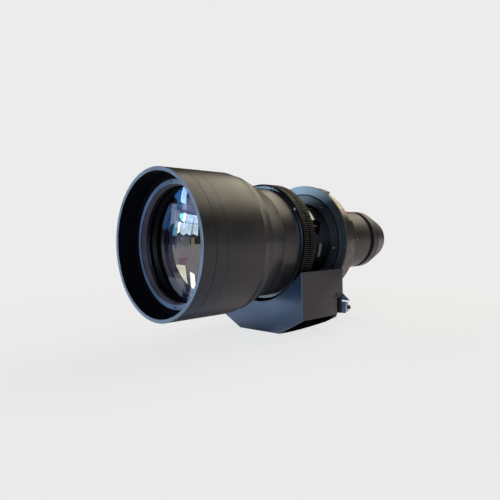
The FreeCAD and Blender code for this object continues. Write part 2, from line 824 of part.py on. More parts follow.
def helical_strip(station, travel, angle, turn, half):
    """A strip that crosses the cam tube's wall along a helix, as a cutting tool."""
    inner = d.cam_bore.number - 2
    outer = d.cam_radius.number + 2
    steps = 20
    mid = (inner + outer) / 2
    slope = math.atan2(travel, math.radians(turn) * mid)
    rails = []
    for side in (-1, 1):
        for radius in (inner, outer):
            points = []
            for step in range(steps + 1):
                along = step / steps
                swing = math.radians(angle + turn * along) - side * half * math.sin(slope) / mid
                place_y = station - d.seat_station.number + travel * along + side * half * math.cos(slope)
                points.append(Vector(radius * math.cos(swing), place_y, radius * math.sin(swing)))
            curve = Part.BSplineCurve()
            curve.interpolate(points)
            rails.append(curve.toShape())
    low_in, low_out, high_in, high_out = rails
    sides = [Part.makeRuledSurface(low_in, low_out), Part.makeRuledSurface(low_out, high_out),
             Part.makeRuledSurface(high_out, high_in), Part.makeRuledSurface(high_in, low_in)]
    for end in (0, -1):
        low_line = Part.makeLine(low_in.Vertexes[end].Point, low_out.Vertexes[end].Point)
        high_line = Part.makeLine(high_in.Vertexes[end].Point, high_out.Vertexes[end].Point)
        sides.append(Part.makeRuledSurface(low_line, high_line))
    shell = Part.makeCompound(sides)
    shell.sewShape()
    strip = Part.Solid(shell.Shells[0])
    if strip.Volume < 0:
        strip.reverse()
    return strip


def make_cam_tube():
    """The cam tube that turns with the zoom ring and drives both zoom cells by helical slots."""
    blank = turned("cam_tube_turned", [
        (d.cam_bore, plate_end), (d.cam_flange_radius, plate_end),
        (d.cam_flange_radius, plate_end + d.cam_flange), (d.cam_radius, plate_end + d.cam_flange),
        (d.cam_radius, d.cam_end), (d.cam_bore, d.cam_end)])
    strips = [helical_strip(d.window_station.number, d.window_rise.number, d.window_angle.number,
                            d.window_turn.number, d.window_half_width.number)]
    ends = []
    radius = d.follower_radius + d.follower_gap
    for station, travel, first in (
            (follower_station(d.front_cell_station), -d.front_cell_travel, d.front_follower_angle),
            (follower_station(d.rear_cell_station), d.rear_cell_travel, d.rear_follower_angle)):
        for turn in SPOKES:
            angle = first + turn
            strips.append(helical_strip(station.number, travel.number, angle.number,
                                        d.zoom_turn.number, radius.number))
            for middle, swing in ((station, angle), (station + travel, angle + d.zoom_turn)):
                ends.append(spoke(radius, d.cam_bore - 2, d.cam_radius + 2, middle, swing))
    tool = doc.addObject("Part::Feature", "cam_path")
    tool.Shape = Part.makeCompound(strips)
    keep(cut(cut(blank, tool), *ends), "zoom_cam_tube")


def make_cam_trim():
    """The cream scale plate and the grey end stop, both curved and fixed on the cam tube."""
    outer = d.cam_radius + d.scale_thickness
    keep(sector(d.cam_radius, outer, d.scale_station, d.scale_length, d.scale_angle, d.scale_turn),
         "zoom_scale_plate")
    keep(sector(d.cam_radius, outer, d.end_stop_station, d.end_stop_length, d.end_stop_angle,
                d.end_stop_turn), "zoom_end_stop")


def ring_of(count, reach, first=0):
    """The (x, z) places of things spread evenly round the lens."""
    return [(reach * cosine(first + 360 * turn / count), reach * sine(first + 360 * turn / count))
            for turn in range(count)]


def make_drive_plate():
    """The plate that ties the cam tube to the zoom ring, and its screws."""
    blank = tube("drive_plate_turned", d.cam_bore, d.drive_plate_radius, zoom_ring_end, plate_end)
    reach = (d.main_radius + d.drive_plate_radius) / 2 + 0.4
    spots = ring_of(6, reach, 15)
    hole = d.small_screw + d.fixed_gap
    holes = [bar(hole, zoom_ring_end - 1, d.drive_plate + 2, x, z) for x, z in spots]
    keep(cut(blank, *holes), "zoom_drive_plate")
    screws = [screw(d.small_screw, d.small_screw * 1.9, plate_end, x, z, d.drive_plate, way=-1)
              for x, z in spots]
    group("drive_plate_screws", screws)


def make_glass_cell(name, start, length, outer, glass, depth, curve, back_curve, holes=()):
    """A cell with one element in it: the ring with its lock ring as one group, and the element."""
    end = start + length
    lip = glass - d.glass_lip
    apex = start + d.glass_setback
    pocket = glass + d.fixed_gap
    seat = apex + sag(curve, lip)
    back = apex + depth - sag(back_curve, lip)
    ring = turned(name + "_turned", [
        (lip, start), (outer, start), (outer, end), (pocket, end), (pocket, seat), (lip, seat)])
    if holes:
        ring = cut(ring, *holes)
    group(name, [ring, tube(name + "_lock_ring", lip, glass, back, end)])
    return lens(name + "_glass", glass, apex, curve, depth, back_curve)


def make_zoom_cell(name, station, first, curve, back_curve):
    """One zoom cell: its ring, its glass and its three followers."""
    middle = follower_station(station)
    holes = [spoke(d.follower_radius + d.fixed_gap, d.zoom_glass_radius + 1, d.guide_bore + 1,
                   middle, first + turn) for turn in SPOKES]
    glass = make_glass_cell(name, station, d.zoom_cell_length, cell_radius, d.zoom_glass_radius,
                            d.zoom_glass_depth, curve, back_curve, holes)
    keep(glass, name + "_glass")
    group(name + "_followers", [
        spoke(d.follower_radius, d.zoom_glass_radius + d.scale_thickness, d.cam_radius - d.slide_gap,
              middle, first + turn) for turn in SPOKES])


# mounting flange, bayonet ring and the rear barrel
retainer_start = d.flange_face - d.retainer_thickness
barrel_start = flange_back + d.barrel_flange


def make_mount():
    """The flange, the bayonet ring behind it and the cam tube's cover ring; gives its screws."""
    pillar_holes = [bar(d.screw + d.fixed_gap, d.flange_face - 1, d.flange_thickness + 2, x, z)
                    for x, z in flange_pillars()]
    flange = turned("flange_turned", [
        (d.guide_radius + d.fixed_gap, d.flange_face), (d.flange_radius - d.rim_bevel, d.flange_face),
        (d.flange_radius, d.flange_face + d.rim_bevel), (d.flange_radius, flange_back),
        (d.guide_radius + d.fixed_gap, flange_back)])
    keep(cut(flange, *pillar_holes), "mount_flange")
    ring = tube("bayonet_turned", d.bayonet_bore, d.bayonet_radius, flange_back, d.seat_station)
    floor = d.bayonet_radius - d.bayonet_notch
    notches = [sector(floor, d.bayonet_radius + 2, flange_back - 1, d.seat_station - flange_back + 2,
                      d.notch_angle + turn, d.notch_turn) for turn in SPOKES]
    keep(cut(ring, *notches), "bayonet_ring")
    reach = (d.retainer_radius + d.cam_radius) / 2
    spots = ring_of(6, reach, 50)
    retainer = tube("retainer_turned", d.cam_radius + d.slide_gap, d.retainer_radius,
                    retainer_start, d.flange_face)
    holes = [bar(d.small_screw + d.fixed_gap, retainer_start - 1, d.retainer_thickness + 2, x, z)
             for x, z in spots]
    keep(cut(retainer, *holes), "cam_retainer")
    return [screw(d.small_screw, d.small_screw * 1.9, retainer_start, x, z, d.retainer_thickness)
            for x, z in spots]


def make_rear_barrel(ring_screws):
    """The rear barrel, the flange ring it is screwed into, and the mount's screws in one group."""
    bore = d.barrel_bore
    shoulder = bore - d.barrel_wall
    seat = d.barrel_radius - d.barrel_seat_step
    reach = (d.bayonet_bore + d.guide_radius) / 2
    spots = ring_of(6, reach, 0)
    blank = turned("rear_barrel_turned", [
        (shoulder, flange_back), (seat, flange_back), (seat, barrel_start), (d.barrel_radius, barrel_start),
        (d.barrel_radius, d.barrel_end), (bore, d.barrel_end), (bore, d.relay_start),
        (shoulder, d.relay_start)])
    holes = [spoke(d.small_screw + d.fixed_gap, bore - 1, d.barrel_radius + 1, d.set_screw_station, turn)
             for turn in SPOKES]
    keep(cut(blank, *holes), "rear_barrel")
    ring = tube("barrel_flange_turned", seat + d.fixed_gap, d.bayonet_bore - d.fixed_gap,
                flange_back, barrel_start)
    holes = [bar(d.screw + d.fixed_gap, flange_back - 1, d.barrel_flange + 2, x, z) for x, z in spots]
    keep(cut(ring, *holes), "barrel_flange")
    screws = [screw(d.screw, d.screw * 1.9, barrel_start, x, z, d.barrel_flange, way=-1)
              for x, z in spots]
    screws += [spoke(d.small_screw, bore, d.barrel_radius - d.fixed_gap, d.set_screw_station, turn)
               for turn in SPOKES]
    group("mount_screws", ring_screws + screws)


stop_station = d.relay_start + d.relay_length
second_relay = stop_station + d.stop_thickness
relay_end = second_relay + d.relay_length


def make_relay():
    """Two relay cells with the aperture stop between them, held by a lock ring."""
    outer = d.barrel_bore - d.fixed_gap
    glass = d.relay_glass_radius
    depth = d.relay_glass_depth
    glasses = [
        make_glass_cell("relay_front_cell", d.relay_start, d.relay_length, outer, glass, depth,
                        d.front_relay_curve, d.front_relay_back_curve),
        make_glass_cell("relay_rear_cell", second_relay, d.relay_length, outer, glass, depth,
                        d.rear_relay_curve, d.rear_relay_back_curve)]
    group("relay_glasses", glasses)
    group("relay_stop_rings", [
        tube("aperture_stop", d.stop_radius, outer, stop_station, second_relay),
        tube("relay_lock_ring", glass - d.glass_lip, outer, relay_end, relay_end + d.lock_ring)])


def make_rear_cap():
    """The recessed collar, the tapered rear cell and its glass."""
    bore = d.barrel_bore - d.fixed_gap
    glass = d.rear_glass_radius
    lip = glass - d.glass_lip
    pocket = glass + d.fixed_gap
    seat = d.rear_glass_apex + sag(d.rear_glass_curve, lip)
    back = d.rear_glass_apex + d.rear_glass_depth - sag(d.rear_glass_back_curve, lip)
    cap_start = d.collar_end
    inner = bore - d.barrel_wall
    keep(turned("rear_collar", [
        (inner, d.barrel_end - d.lock_ring), (bore, d.barrel_end - d.lock_ring), (bore, d.barrel_end),
        (d.collar_radius, d.barrel_end), (d.collar_radius, cap_start), (bore, cap_start),
        (bore, cap_start + d.lock_ring), (inner, cap_start + d.lock_ring)]), "rear_collar")
    cell = turned("rear_cell_turned", [
        (bore + d.fixed_gap, cap_start), (d.cap_radius - d.rim_bevel, cap_start),
        (d.cap_radius, cap_start + d.rim_bevel), (d.cap_radius, cap_start + d.cap_straight),
        (d.rear_radius, d.rear_end - d.rim_bevel), (d.rear_radius - d.rim_bevel, d.rear_end),
        (pocket, d.rear_end), (pocket, seat), (lip, seat), (inner, cap_start + d.cap_straight),
        (bore + d.fixed_gap, cap_start + d.cap_straight)])
    group("rear_cell", [cell, tube("rear_lock_ring", lip, glass, back, d.rear_end - 1)])
    keep(lens("rear_element", glass, d.rear_glass_apex, d.rear_glass_curve,
              d.rear_glass_depth, d.rear_glass_back_curve), "rear_element")


# the drive box: front plate, cover, rear plate, motor plate and pillars
run = d.box_half_width - d.box_floor_half
fall = d.box_floor - d.box_side
deep = d.bow_depth + 2
floor_at_deep = d.box_floor_half - (deep - d.box_floor) * run / fall
lift = d.sheet * square_root(run * run + fall * fall) / run
inner_half = d.box_half_width - d.sheet
inner_side = d.box_side - lift + d.sheet * fall / run
inner_floor_at_deep = floor_at_deep - lift * run / fall
cover_start = d.box_front + d.front_plate + d.plate_shadow_gap
rear_plate_start = d.box_end - d.sheet
motor_plate_end = d.motor_plate_start + d.motor_plate


def mirrored(outline):
    """An outline's right half, and its mirror image to close it."""
    return outline + [(-x, z) for x, z in reversed(outline)]


def inner_outline(top):
    """The outline of what fills the cover from side to side."""
    return mirrored([(inner_half, -top), (inner_half, -inner_side), (inner_floor_at_deep, -deep)])


def bowed(blank, radius):
    """A piece trimmed to the bowed floor of the box."""
    drum = across(radius, 4 * d.box_half_width, -2 * d.box_half_width, d.bow_station,
                  d.bow_radius - d.bow_depth)
    return common(blank, drum)


def flange_pillars():
    """The (x, z) places of the pillars between the motor plate and the flange."""
    reach = d.flange_pillar_reach
    half = reach * cosine(d.flange_pillar_angle)
    height = reach * sine(d.flange_pillar_angle)
    return [(as_size(0), -reach), (half, -height), (-half, -height)]


def front_pillars():
    """The (x, z) places of the pillars between the front plate and the motor plate."""
    return [(d.front_pillar_half, -d.front_pillar_height), (-d.front_pillar_half, -d.front_pillar_height),
            (d.low_pillar_half, -d.low_pillar_depth), (-d.low_pillar_half, -d.low_pillar_depth)]


def shaft_places():
    """The (x, z) axes of the two motors and the two sensors, by name."""
    places = {}
    for name, side in (("focus", -1), ("zoom", 1)):
        places[name + "_motor"] = (side * motor_reach * sine(d.motor_angle),
                                   -motor_reach * cosine(d.motor_angle))
        places[name + "_sensor"] = (side * sensor_reach * sine(d.sensor_angle),
                                    -sensor_reach * cosine(d.sensor_angle))
    return places


def bevel_front(base, size):
    """Bevel the edges of a plate's front face."""
    doc.recompute()
    front = base.Shape.BoundBox.YMin
    edges = [number for number, edge in enumerate(base.Shape.Edges, start=1)
             if edge.BoundBox.YMax < front + 1e-4 and edge.Length > 4 * size]
    result = doc.addObject("Part::Chamfer", "Bevel")
    result.Base = base
    result.Edges = [(number, size, size) for number in edges]
    return result


def make_box():
    """The folded drive box and the plates and pillars that carry it."""
    shoulder_height = square_root(d.box_opening_radius * d.box_opening_radius
                                  - d.box_opening_half * d.box_opening_half)
    face = plate("front_plate_blank", mirrored([
        (d.box_opening_half, -shoulder_height), (d.box_half_width, -d.box_top),
        (d.box_half_width, -d.box_side), (d.box_floor_half, -d.box_floor)]), d.box_front, d.front_plate)
    opening = bar(d.box_opening_radius, d.box_front - 1, d.front_plate + 2)
    keep(bevel_front(cut(face, opening), 0.4), "box_front_plate")
    length = d.box_end - cover_start
    outer = plate("cover_outer", mirrored([
        (d.box_half_width, -d.box_top), (d.box_half_width, -d.box_side), (floor_at_deep, -deep)]),
        cover_start, length)
    inner = plate("cover_inner", inner_outline(d.box_top - 1), cover_start - 1, length + 2)
    corner = block((inner_half - 8, d.notch_start, -d.box_floor),
                   (as_size(20), length, d.box_floor - d.notch_top))
    shell = cut(bowed(outer, d.bow_radius), bowed(inner, d.bow_radius - d.sheet), corner)
    screws = []
    for way in (1, -1):
        shank = across(d.small_screw, -way * d.sheet, way * (d.box_half_width + d.sheet / 2),
                       d.box_screw_station, -d.box_screw_drop)
        head = across(d.small_screw * 1.8, way * d.small_screw * 0.8, way * d.box_half_width,
                      d.box_screw_station, -d.box_screw_drop)
        screws.append(fused(shank, head))
        shell = cut(shell, across(d.small_screw + d.fixed_gap, -way * 3 * d.sheet,
                                  way * (d.box_half_width + d.sheet), d.box_screw_station,
                                  -d.box_screw_drop))
    keep(shell, "box_cover")
    group("box_screws", screws)
    neck = d.cam_radius + 1.6
    rear = bowed(plate("rear_plate_blank", inner_outline(d.box_top), rear_plate_start, d.sheet),
                 d.bow_radius - d.sheet)
    pillar_holes = [bar(d.pillar_radius + d.fixed_gap, rear_plate_start - 1, d.sheet + 2, x, z)
                    for x, z in flange_pillars()]
    side_room = block((inner_half - 8, rear_plate_start - 1, -d.box_floor),
                      (as_size(20), d.sheet + 2, d.box_floor - d.box_side))
    keep(cut(rear, bar(neck, rear_plate_start - 1, d.sheet + 2), side_room, *pillar_holes),
         "box_rear_plate")


def make_motor_plate():
    """The plate that carries the motors and sensors, and its pillars and screws."""
    base = bowed(plate("motor_plate_blank", inner_outline(d.box_top + 1), d.motor_plate_start,
                       d.motor_plate), d.bow_radius - d.sheet)
    neck = d.cam_radius + 3
    holes = [bar(neck, d.motor_plate_start - 1, d.motor_plate + 2)]
    for x, z in shaft_places().values():
        holes.append(bar(3.5 * d.shaft_radius, d.motor_plate_start - 1, d.motor_plate + 2, x, z))
    for x, z in flange_pillars() + front_pillars():
        holes.append(bar(d.screw + d.fixed_gap, d.motor_plate_start - 1, d.motor_plate + 2, x, z))
    keep(cut(base, *holes), "motor_plate")
    length = d.flange_face - motor_plate_end
    front = d.box_front + d.front_plate
    pillars = [cut(bar(d.pillar_radius, motor_plate_end, length, x, z),
                   bar(d.screw + d.fixed_gap, motor_plate_end - 1, d.thread_depth + 2, x, z))
               for x, z in flange_pillars()]
    pillars += [bar(d.pillar_radius, front, d.motor_plate_start - front, x, z) for x, z in front_pillars()]
    group("drive_pillars", pillars)
    screws = [screw(d.screw, d.screw * 1.9, d.motor_plate_start, x, z, d.motor_plate + d.thread_depth)
              for x, z in flange_pillars()]
    screws += [screw(d.screw, d.screw * 1.9, motor_plate_end, x, z, d.motor_plate, way=-1)
               for x, z in front_pillars()]
    group("motor_plate_screws", screws)


def make_drives():
    """The geared motors and position sensors, with their pinions and gears on long shafts."""
    bearing = d.shaft_radius + d.shaft_gap
    boss = 3 * d.shaft_radius
    mouth = motor_plate_end - d.motor_plate / 2
    depth = mouth + d.shaft_depth
    starts = {"focus": d.focus_ring_start + (d.focus_ring_width - d.pinion_width) / 2,
              "zoom": zoom_ring_start + (d.zoom_ring_width - d.pinion_width) / 2}
    for name, (x, z) in shaft_places().items():
        ring, kind = name.split("_")
        outline = [(bearing, mouth), (boss, mouth), (boss, motor_plate_end)]
        if kind == "motor":
            back = motor_plate_end + d.gearbox_length
            end = motor_plate_end + d.motor_length
            outline += [(d.motor_radius, motor_plate_end), (d.motor_radius, back), (d.can_radius, back),
                        (d.can_radius, end)]
            teeth = d.pinion_teeth
            wheel = ring + "_pinion"
        else:
            end = motor_plate_end + d.sensor_length
            outline += [(d.sensor_radius, motor_plate_end), (d.sensor_radius, end)]
            teeth = d.sensor_teeth
            wheel = ring + "_sensor_gear"
        outline += [(0, end), (0, depth), (bearing, depth)]
        keep(turned(name, outline, x=x, z=z), name)
        start = starts[ring]
        direction = math.degrees(math.atan2(z.number, x.number))
        disc = toothed(wheel + "_teeth", teeth, start, d.pinion_width,
                       mesh_phase(teeth.number, direction), x.number, z.number)
        shaft = bar(d.shaft_radius, start - 2, depth - d.slide_gap - start + 2, x, z)
        keep(fused(disc, shaft), wheel)


def make_board():
    """The control board with its spacers and the header that faces into the box."""
    start = rear_plate_start - d.board_gap - d.board_thickness
    board = block((-d.board_half, start, -d.board_low),
                  (2 * d.board_half, d.board_thickness, d.board_low - d.board_high))
    header = block((d.board_half - d.header_length - d.header_height, start - d.header_depth,
                    d.spacer_inset - d.board_low), (d.header_length, d.header_depth, d.header_height))
    spacers = [bar(d.spacer_radius, start + d.board_thickness, d.board_gap, x, z)
               for x in (d.board_half - d.spacer_inset, d.spacer_inset - d.board_half)
               for z in (-(d.board_high + d.spacer_inset), d.spacer_inset - d.board_low)]
    group("control_board", [board, header] + spacers)


def make_dock():
    """The bracket behind the box's corner, the docking connector on it and its side screw."""
    start = d.box_end
    ear_near = 2 * d.ear_apex - d.ear_tip
    keep(plate("dock_bracket", [
        (d.tab_half_near, -d.tab_low), (d.tab_half_far, -d.tab_low), (d.tab_half_far, -d.tab_high),
        (ear_near + 2, -d.tab_high), (ear_near + 2, -d.ear_low), (d.ear_tip, -d.ear_low),
        (d.ear_apex, -d.ear_high), (d.tab_half_near, -d.ear_high)], start, d.bracket), "dock_bracket")
    back = start + d.bracket
    near = d.tab_half_near + d.side_head_radius
    far = d.tab_half_far - d.dock_wall
    low = d.dock_back - d.tab_low
    high = -d.tab_high - d.dock_back
    wall = d.dock_wall
    shell = block((near, back, low), (far - near, d.dock_length, high - low))
    cavity = block((near + wall, back + d.dock_length - d.dock_depth, low + wall),
                   (far - near - 2 * wall, d.dock_depth + 1, high - low - 2 * wall))
    keep(cut(shell, cavity), "dock_connector")
    middle = (low + high) / 2
    pitch = (far - near - 4 * wall) / 5
    group("dock_contacts", [
        bar(d.contact_radius, back + d.dock_length - d.dock_depth, d.contact_length,
            near + 2 * wall + column * pitch, middle + row * wall)
        for row in (-1, 1) for column in range(6)])
    along = back + d.side_washer_radius
    group("dock_side_screw", [
        across(d.side_washer_radius, d.side_washer, far, along, middle),
        across(d.side_head_radius, d.side_head, far + d.side_washer, along, middle)])


def write_parts():
    """Check the whole document and every part, then write one file for each part."""
    doc.recompute()
    for thing in doc.Objects:
        if "Invalid" in thing.State or "Error" in thing.State:
            raise RuntimeError(f"{thing.Label} failed: {thing.State}")
    os.makedirs("parts", exist_ok=True)
    for part in parts:
        shape = part.Shape
        if shape.isNull() or not shape.isValid() or not shape.Solids:
            raise RuntimeError(f"{part.Label} has no sound shape")
        shape.exportStep(os.path.join("parts", part.Label + ".step"))
    print(len(parts), "parts written")


make_hood()
make_front_barrel()
make_front_group()
make_toothed_rings()
make_main_barrel()
make_guide_tube()
make_cam_tube()
make_cam_trim()
make_drive_plate()
make_zoom_cell("zoom_front_cell", d.front_cell_station, d.front_follower_angle,
               d.front_zoom_curve, d.front_zoom_back_curve)
make_zoom_cell("zoom_rear_cell", d.rear_cell_station, d.rear_follower_angle,
               d.rear_zoom_curve, d.rear_zoom_back_curve)
make_rear_barrel(make_mount())
make_relay()
make_rear_cap()
make_box()
make_motor_plate()
make_drives()
make_board()
make_dock()
write_parts()
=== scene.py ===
# %% [markdown]
# # A motorised zoom projector lens
# The object is a long projection lens. Its axis is the Y axis and its hood looks toward -Y.
# The hood, the toothed rings, the neck, the bright bayonet ring and the rear barrel sit on that axis,
# and a folded drive box hangs under the neck. The solids come in as a fixed frame, and this script
# gives them their finish, their fine edges and their small fittings.
# Nearly everything is turned work, so one place along the lens, called a station, is the distance
# in millimetres behind the front rim, as a maker would read it from a drawing.

# %% Load the frame
import math
import bmesh
import bpy
from mathutils import Matrix, Vector


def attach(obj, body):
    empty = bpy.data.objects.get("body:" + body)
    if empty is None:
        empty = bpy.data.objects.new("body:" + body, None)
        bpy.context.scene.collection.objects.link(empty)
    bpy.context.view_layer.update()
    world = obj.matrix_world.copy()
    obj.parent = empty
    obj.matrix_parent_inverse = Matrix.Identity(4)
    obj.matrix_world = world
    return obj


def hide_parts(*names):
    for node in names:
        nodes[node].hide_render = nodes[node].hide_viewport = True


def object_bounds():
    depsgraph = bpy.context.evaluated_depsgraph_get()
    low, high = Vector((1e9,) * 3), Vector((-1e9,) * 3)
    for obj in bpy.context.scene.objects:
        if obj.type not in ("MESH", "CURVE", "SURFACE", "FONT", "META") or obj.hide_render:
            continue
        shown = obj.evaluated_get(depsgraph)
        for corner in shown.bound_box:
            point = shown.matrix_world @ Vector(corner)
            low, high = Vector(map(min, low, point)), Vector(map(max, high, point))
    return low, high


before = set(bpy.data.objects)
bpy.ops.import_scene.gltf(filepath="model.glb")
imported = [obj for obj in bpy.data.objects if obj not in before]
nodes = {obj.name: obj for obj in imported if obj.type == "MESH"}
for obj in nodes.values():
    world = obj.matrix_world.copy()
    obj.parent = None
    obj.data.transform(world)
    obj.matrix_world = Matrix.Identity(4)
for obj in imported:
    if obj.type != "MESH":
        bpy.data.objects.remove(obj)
cad_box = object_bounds()
SEAT_STATION = 235.0


def station(place):
    """A station in millimetres as a Y coordinate in metres."""
    return (place - SEAT_STATION) / 1000


# %% [markdown]
# ## The camera
# A photograph's point of view can be solved from the circles of a turned object: each circle gives
# an ellipse, and all of them share one axis. The result is a place and three directions, which go
# straight into the camera's matrix. That is more exact than turning a camera by eye.

# %% Camera
camera_data = bpy.data.cameras.new("camera")
camera_data.lens = 35.13
camera_data.sensor_width = 36.0
camera_data.clip_start = 0.01
camera_data.clip_end = 50.0
camera = bpy.data.objects.new("camera", camera_data)
bpy.context.scene.collection.objects.link(camera)
camera_right = Vector((0.69006, 0.72337, -0.02361)).normalized()
camera_back = Vector((0.72375, -0.68969, 0.02251)).normalized()
camera_up = camera_back.cross(camera_right).normalized()
camera_right = camera_up.cross(camera_back)
turn = Matrix((camera_right, camera_up, camera_back)).transposed()
camera.matrix_world = Matrix.Translation((0.40076, -0.49101, 0.00380)) @ turn.to_4x4()
bpy.context.scene.camera = camera
print("camera at", [round(v, 3) for v in camera.location])

# %% [markdown]
# ## Small tools for node materials
# Every finish is a small net of nodes round one Principled shader. A dictionary of sockets keeps
# each finish readable: plain numbers go straight on the shader, and only what varies over the
# surface is linked. Patterns read Object coordinates in metres, so a scale of 1000 is a millimetre.

# %% Node tools
scene = bpy.context.scene
scene.view_settings.view_transform = "Standard"


class Net:
    """A material's node tree with short calls for the few nodes that the finishes use."""

    def __init__(self, name):
        self.material = bpy.data.materials.new(name)
        self.material.use_nodes = True
        self.tree = self.material.node_tree
        self.tree.nodes.clear()
        self.output = self.add("ShaderNodeOutputMaterial")
        self.place = self.add("ShaderNodeTexCoord").outputs["Object"]

    def add(self, kind, values=None, **settings):
        """A node with its settings and its unlinked inputs."""
        node = self.tree.nodes.new(kind)
        for name, value in settings.items():
            setattr(node, name, value)
        for socket, value in (values or {}).items():
            self.feed(node.inputs[socket], value)
        return node

    def feed(self, socket, value):
        """Link a socket, or set its value."""
        if isinstance(value, bpy.types.NodeSocket):
            self.tree.links.new(value, socket)
        else:
            socket.default_value = value

    def mapped(self, scale):
        """Object coordinates stretched by a scale for each axis."""
        return self.add("ShaderNodeMapping", {"Vector": self.place, "Scale": scale}).outputs[0]

    def noise(self, scale, detail=2.0, vector=None, rough=0.5):
        """A noise pattern."""
        node = self.add("ShaderNodeTexNoise", {"Vector": vector or self.place, "Scale": scale,
                                               "Detail": detail, "Roughness": rough})
        return node.outputs["Fac"]

    def ramp(self, value, stops):
        """A colour ramp with (position, colour) stops."""
        node = self.add("ShaderNodeValToRGB", {"Fac": value})
        points = node.color_ramp.elements
        while len(points) < len(stops):
            points.new(0.5)
        for point, (position, colour) in zip(points, stops):
            point.position = position
            point.color = (*colour, 1.0)
        return node.outputs["Color"]

    def span(self, value, low, high):
        """A 0 to 1 pattern brought to a range."""
        node = self.add("ShaderNodeMapRange", {"Value": value, "From Min": 0.3, "From Max": 0.7,
                                               "To Min": low, "To Max": high})
        return node.outputs["Result"]

    def sum(self, first, second, share):
        """Two patterns added, the second by a share."""
        node = self.add("ShaderNodeMath", {0: second, 1: share, 2: first}, operation="MULTIPLY_ADD")
        return node.outputs[0]

    def bump(self, height, distance):
        """A normal from a height pattern; distance is in metres."""
        node = self.add("ShaderNodeBump", {"Height": height, "Distance": distance, "Strength": 1.0})
        return node.outputs["Normal"]

    def surface(self, values):
        """Finish the material with one Principled shader."""
        shader = self.add("ShaderNodeBsdfPrincipled", values)
        self.feed(self.output.inputs["Surface"], shader.outputs[0])
        return self.material


print("node tools ready")

# %% [markdown]
# ## Black finishes
# The barrels are bead-blasted aluminium with a black anodised skin: nearly black, a little warm,
# with a soft wide highlight. The grain is about 0.2 mm. Under it the lathe leaves faint rings,
# which a noise pattern that is squeezed along the axis gives. Faces that are turned after blasting
# are smoother and mirror more, and a cool tint in their mirror image is a painted reflection of the
# blue light in front. The inside of the hood is painted flat black, and the box is sheet metal with a
# fine textured paint. A finish has a grain scale and depth, a share of lathe rings, a mirror level, an
# index and a tint painted into its mirror image. Some finishes below also paint light or shade into
# their colour.

# %% Black finishes
BLASTED = 5200.0
SMOOTH_TURNED = 6000.0
SCREW_GRAIN = 4200.0
MOULDED = 3600.0
FLAT_PAINT = 3000.0
TEXTURED_PAINT = 2400.0
DARKER = 0.82
LIGHTER = 1.22
COOL_PAINTED_REFLECTION = (0.82, 0.96, 1.0)


def black_finish(name, colour, roughness, grain_scale, grain_depth, ring_share, mirror, index=1.5,
                 painted_reflection_tint=(1.0, 1.0, 1.0)):
    """A black finish: grain for the bump, slow clouds for the roughness, and lathe rings."""
    net = Net(name)
    grain = net.noise(grain_scale, 3.0)
    clouds = net.noise(38.0, 4.0)
    height = grain
    if ring_share:
        rings = net.noise(1.0, 2.0, net.mapped((6.0, 2600.0, 6.0)))
        height = net.sum(grain, rings, ring_share)
    dark = tuple(c * DARKER for c in colour)
    light = tuple(c * LIGHTER for c in colour)
    return net.surface({
        "Base Color": net.ramp(clouds, [(0.35, dark), (0.65, light)]),
        "Roughness": net.span(clouds, roughness - 0.05, roughness + 0.05),
        "Normal": net.bump(height, grain_depth),
        "IOR": index,
        "Specular IOR Level": mirror,
        "Specular Tint": (*painted_reflection_tint, 1.0)})


satin_black = black_finish("satin_black_anodised", (0.021, 0.018, 0.017), 0.38, BLASTED, 2.0e-5, 0.8, 0.6)
rim_black = black_finish("turned_black_rim", (0.005, 0.005, 0.007), 0.34, BLASTED, 0.8e-5, 1.0, 1.0, 1.9)
# painted reflection: a cool tint in the flange's mirror image
flange_black = black_finish("turned_black_flange", (0.001, 0.0012, 0.0018), 0.34, BLASTED, 0.6e-5, 0.8,
                            1.0, 2.6, COOL_PAINTED_REFLECTION)
# painted light: a lighter blue black on the forward face of the hood rim, for the blue light in front
rim_face_painted_blue_light = black_finish("hood_rim_face_painted_blue_light", (0.200, 0.245, 0.310), 0.48, BLASTED, 1.6e-5, 1.0, 1.0)
# painted highlight: a lighter warm black on the tooth faces that catch light, for the bright strokes
tooth_painted_highlight = black_finish("tooth_painted_highlight_black", (0.070, 0.063, 0.050), 0.24, BLASTED, 1.0e-5, 0.0, 0.35)
# painted light: a lighter warm black on the ring's sloping step, for the warm light from the right
step_painted_warm_light = black_finish("retainer_step_painted_warm_light", (0.110, 0.080, 0.085), 0.40, BLASTED, 1.2e-5, 1.0, 0.8)
flat_black = black_finish("flat_black_paint", (0.0025, 0.002, 0.004), 0.62, FLAT_PAINT, 3.0e-5, 0.0, 0.12)
# painted light: a lighter blue black on the forward faces of the retaining ring, for the blue light in front
ring_face_painted_blue_light = black_finish("retainer_face_painted_blue_light", (0.14, 0.20, 0.30), 0.40, BLASTED, 1.2e-5, 1.0, 1.0)
# painted reflection: a cool tint in the ring's mirror image
ring_black = black_finish("turned_black_ring", (0.002, 0.0022, 0.003), 0.31, SMOOTH_TURNED, 0.3e-5, 1.2,
                          1.0, 2.0, (0.82, 0.94, 1.0))
screw_black = black_finish("blackened_screw", (0.020, 0.021, 0.024), 0.22, SCREW_GRAIN, 0.6e-5, 0.0, 1.0, 2.0)
# painted reflection: a blue black base and a blue tint in its mirror image, for the blue light in front
box_front_painted_blue_reflection = black_finish("box_front_black_painted_blue_reflection", (0.012, 0.023, 0.045), 0.32, TEXTURED_PAINT, 3.0e-5, 0.0,
                           1.0, 1.85, (0.54, 0.72, 1.0))
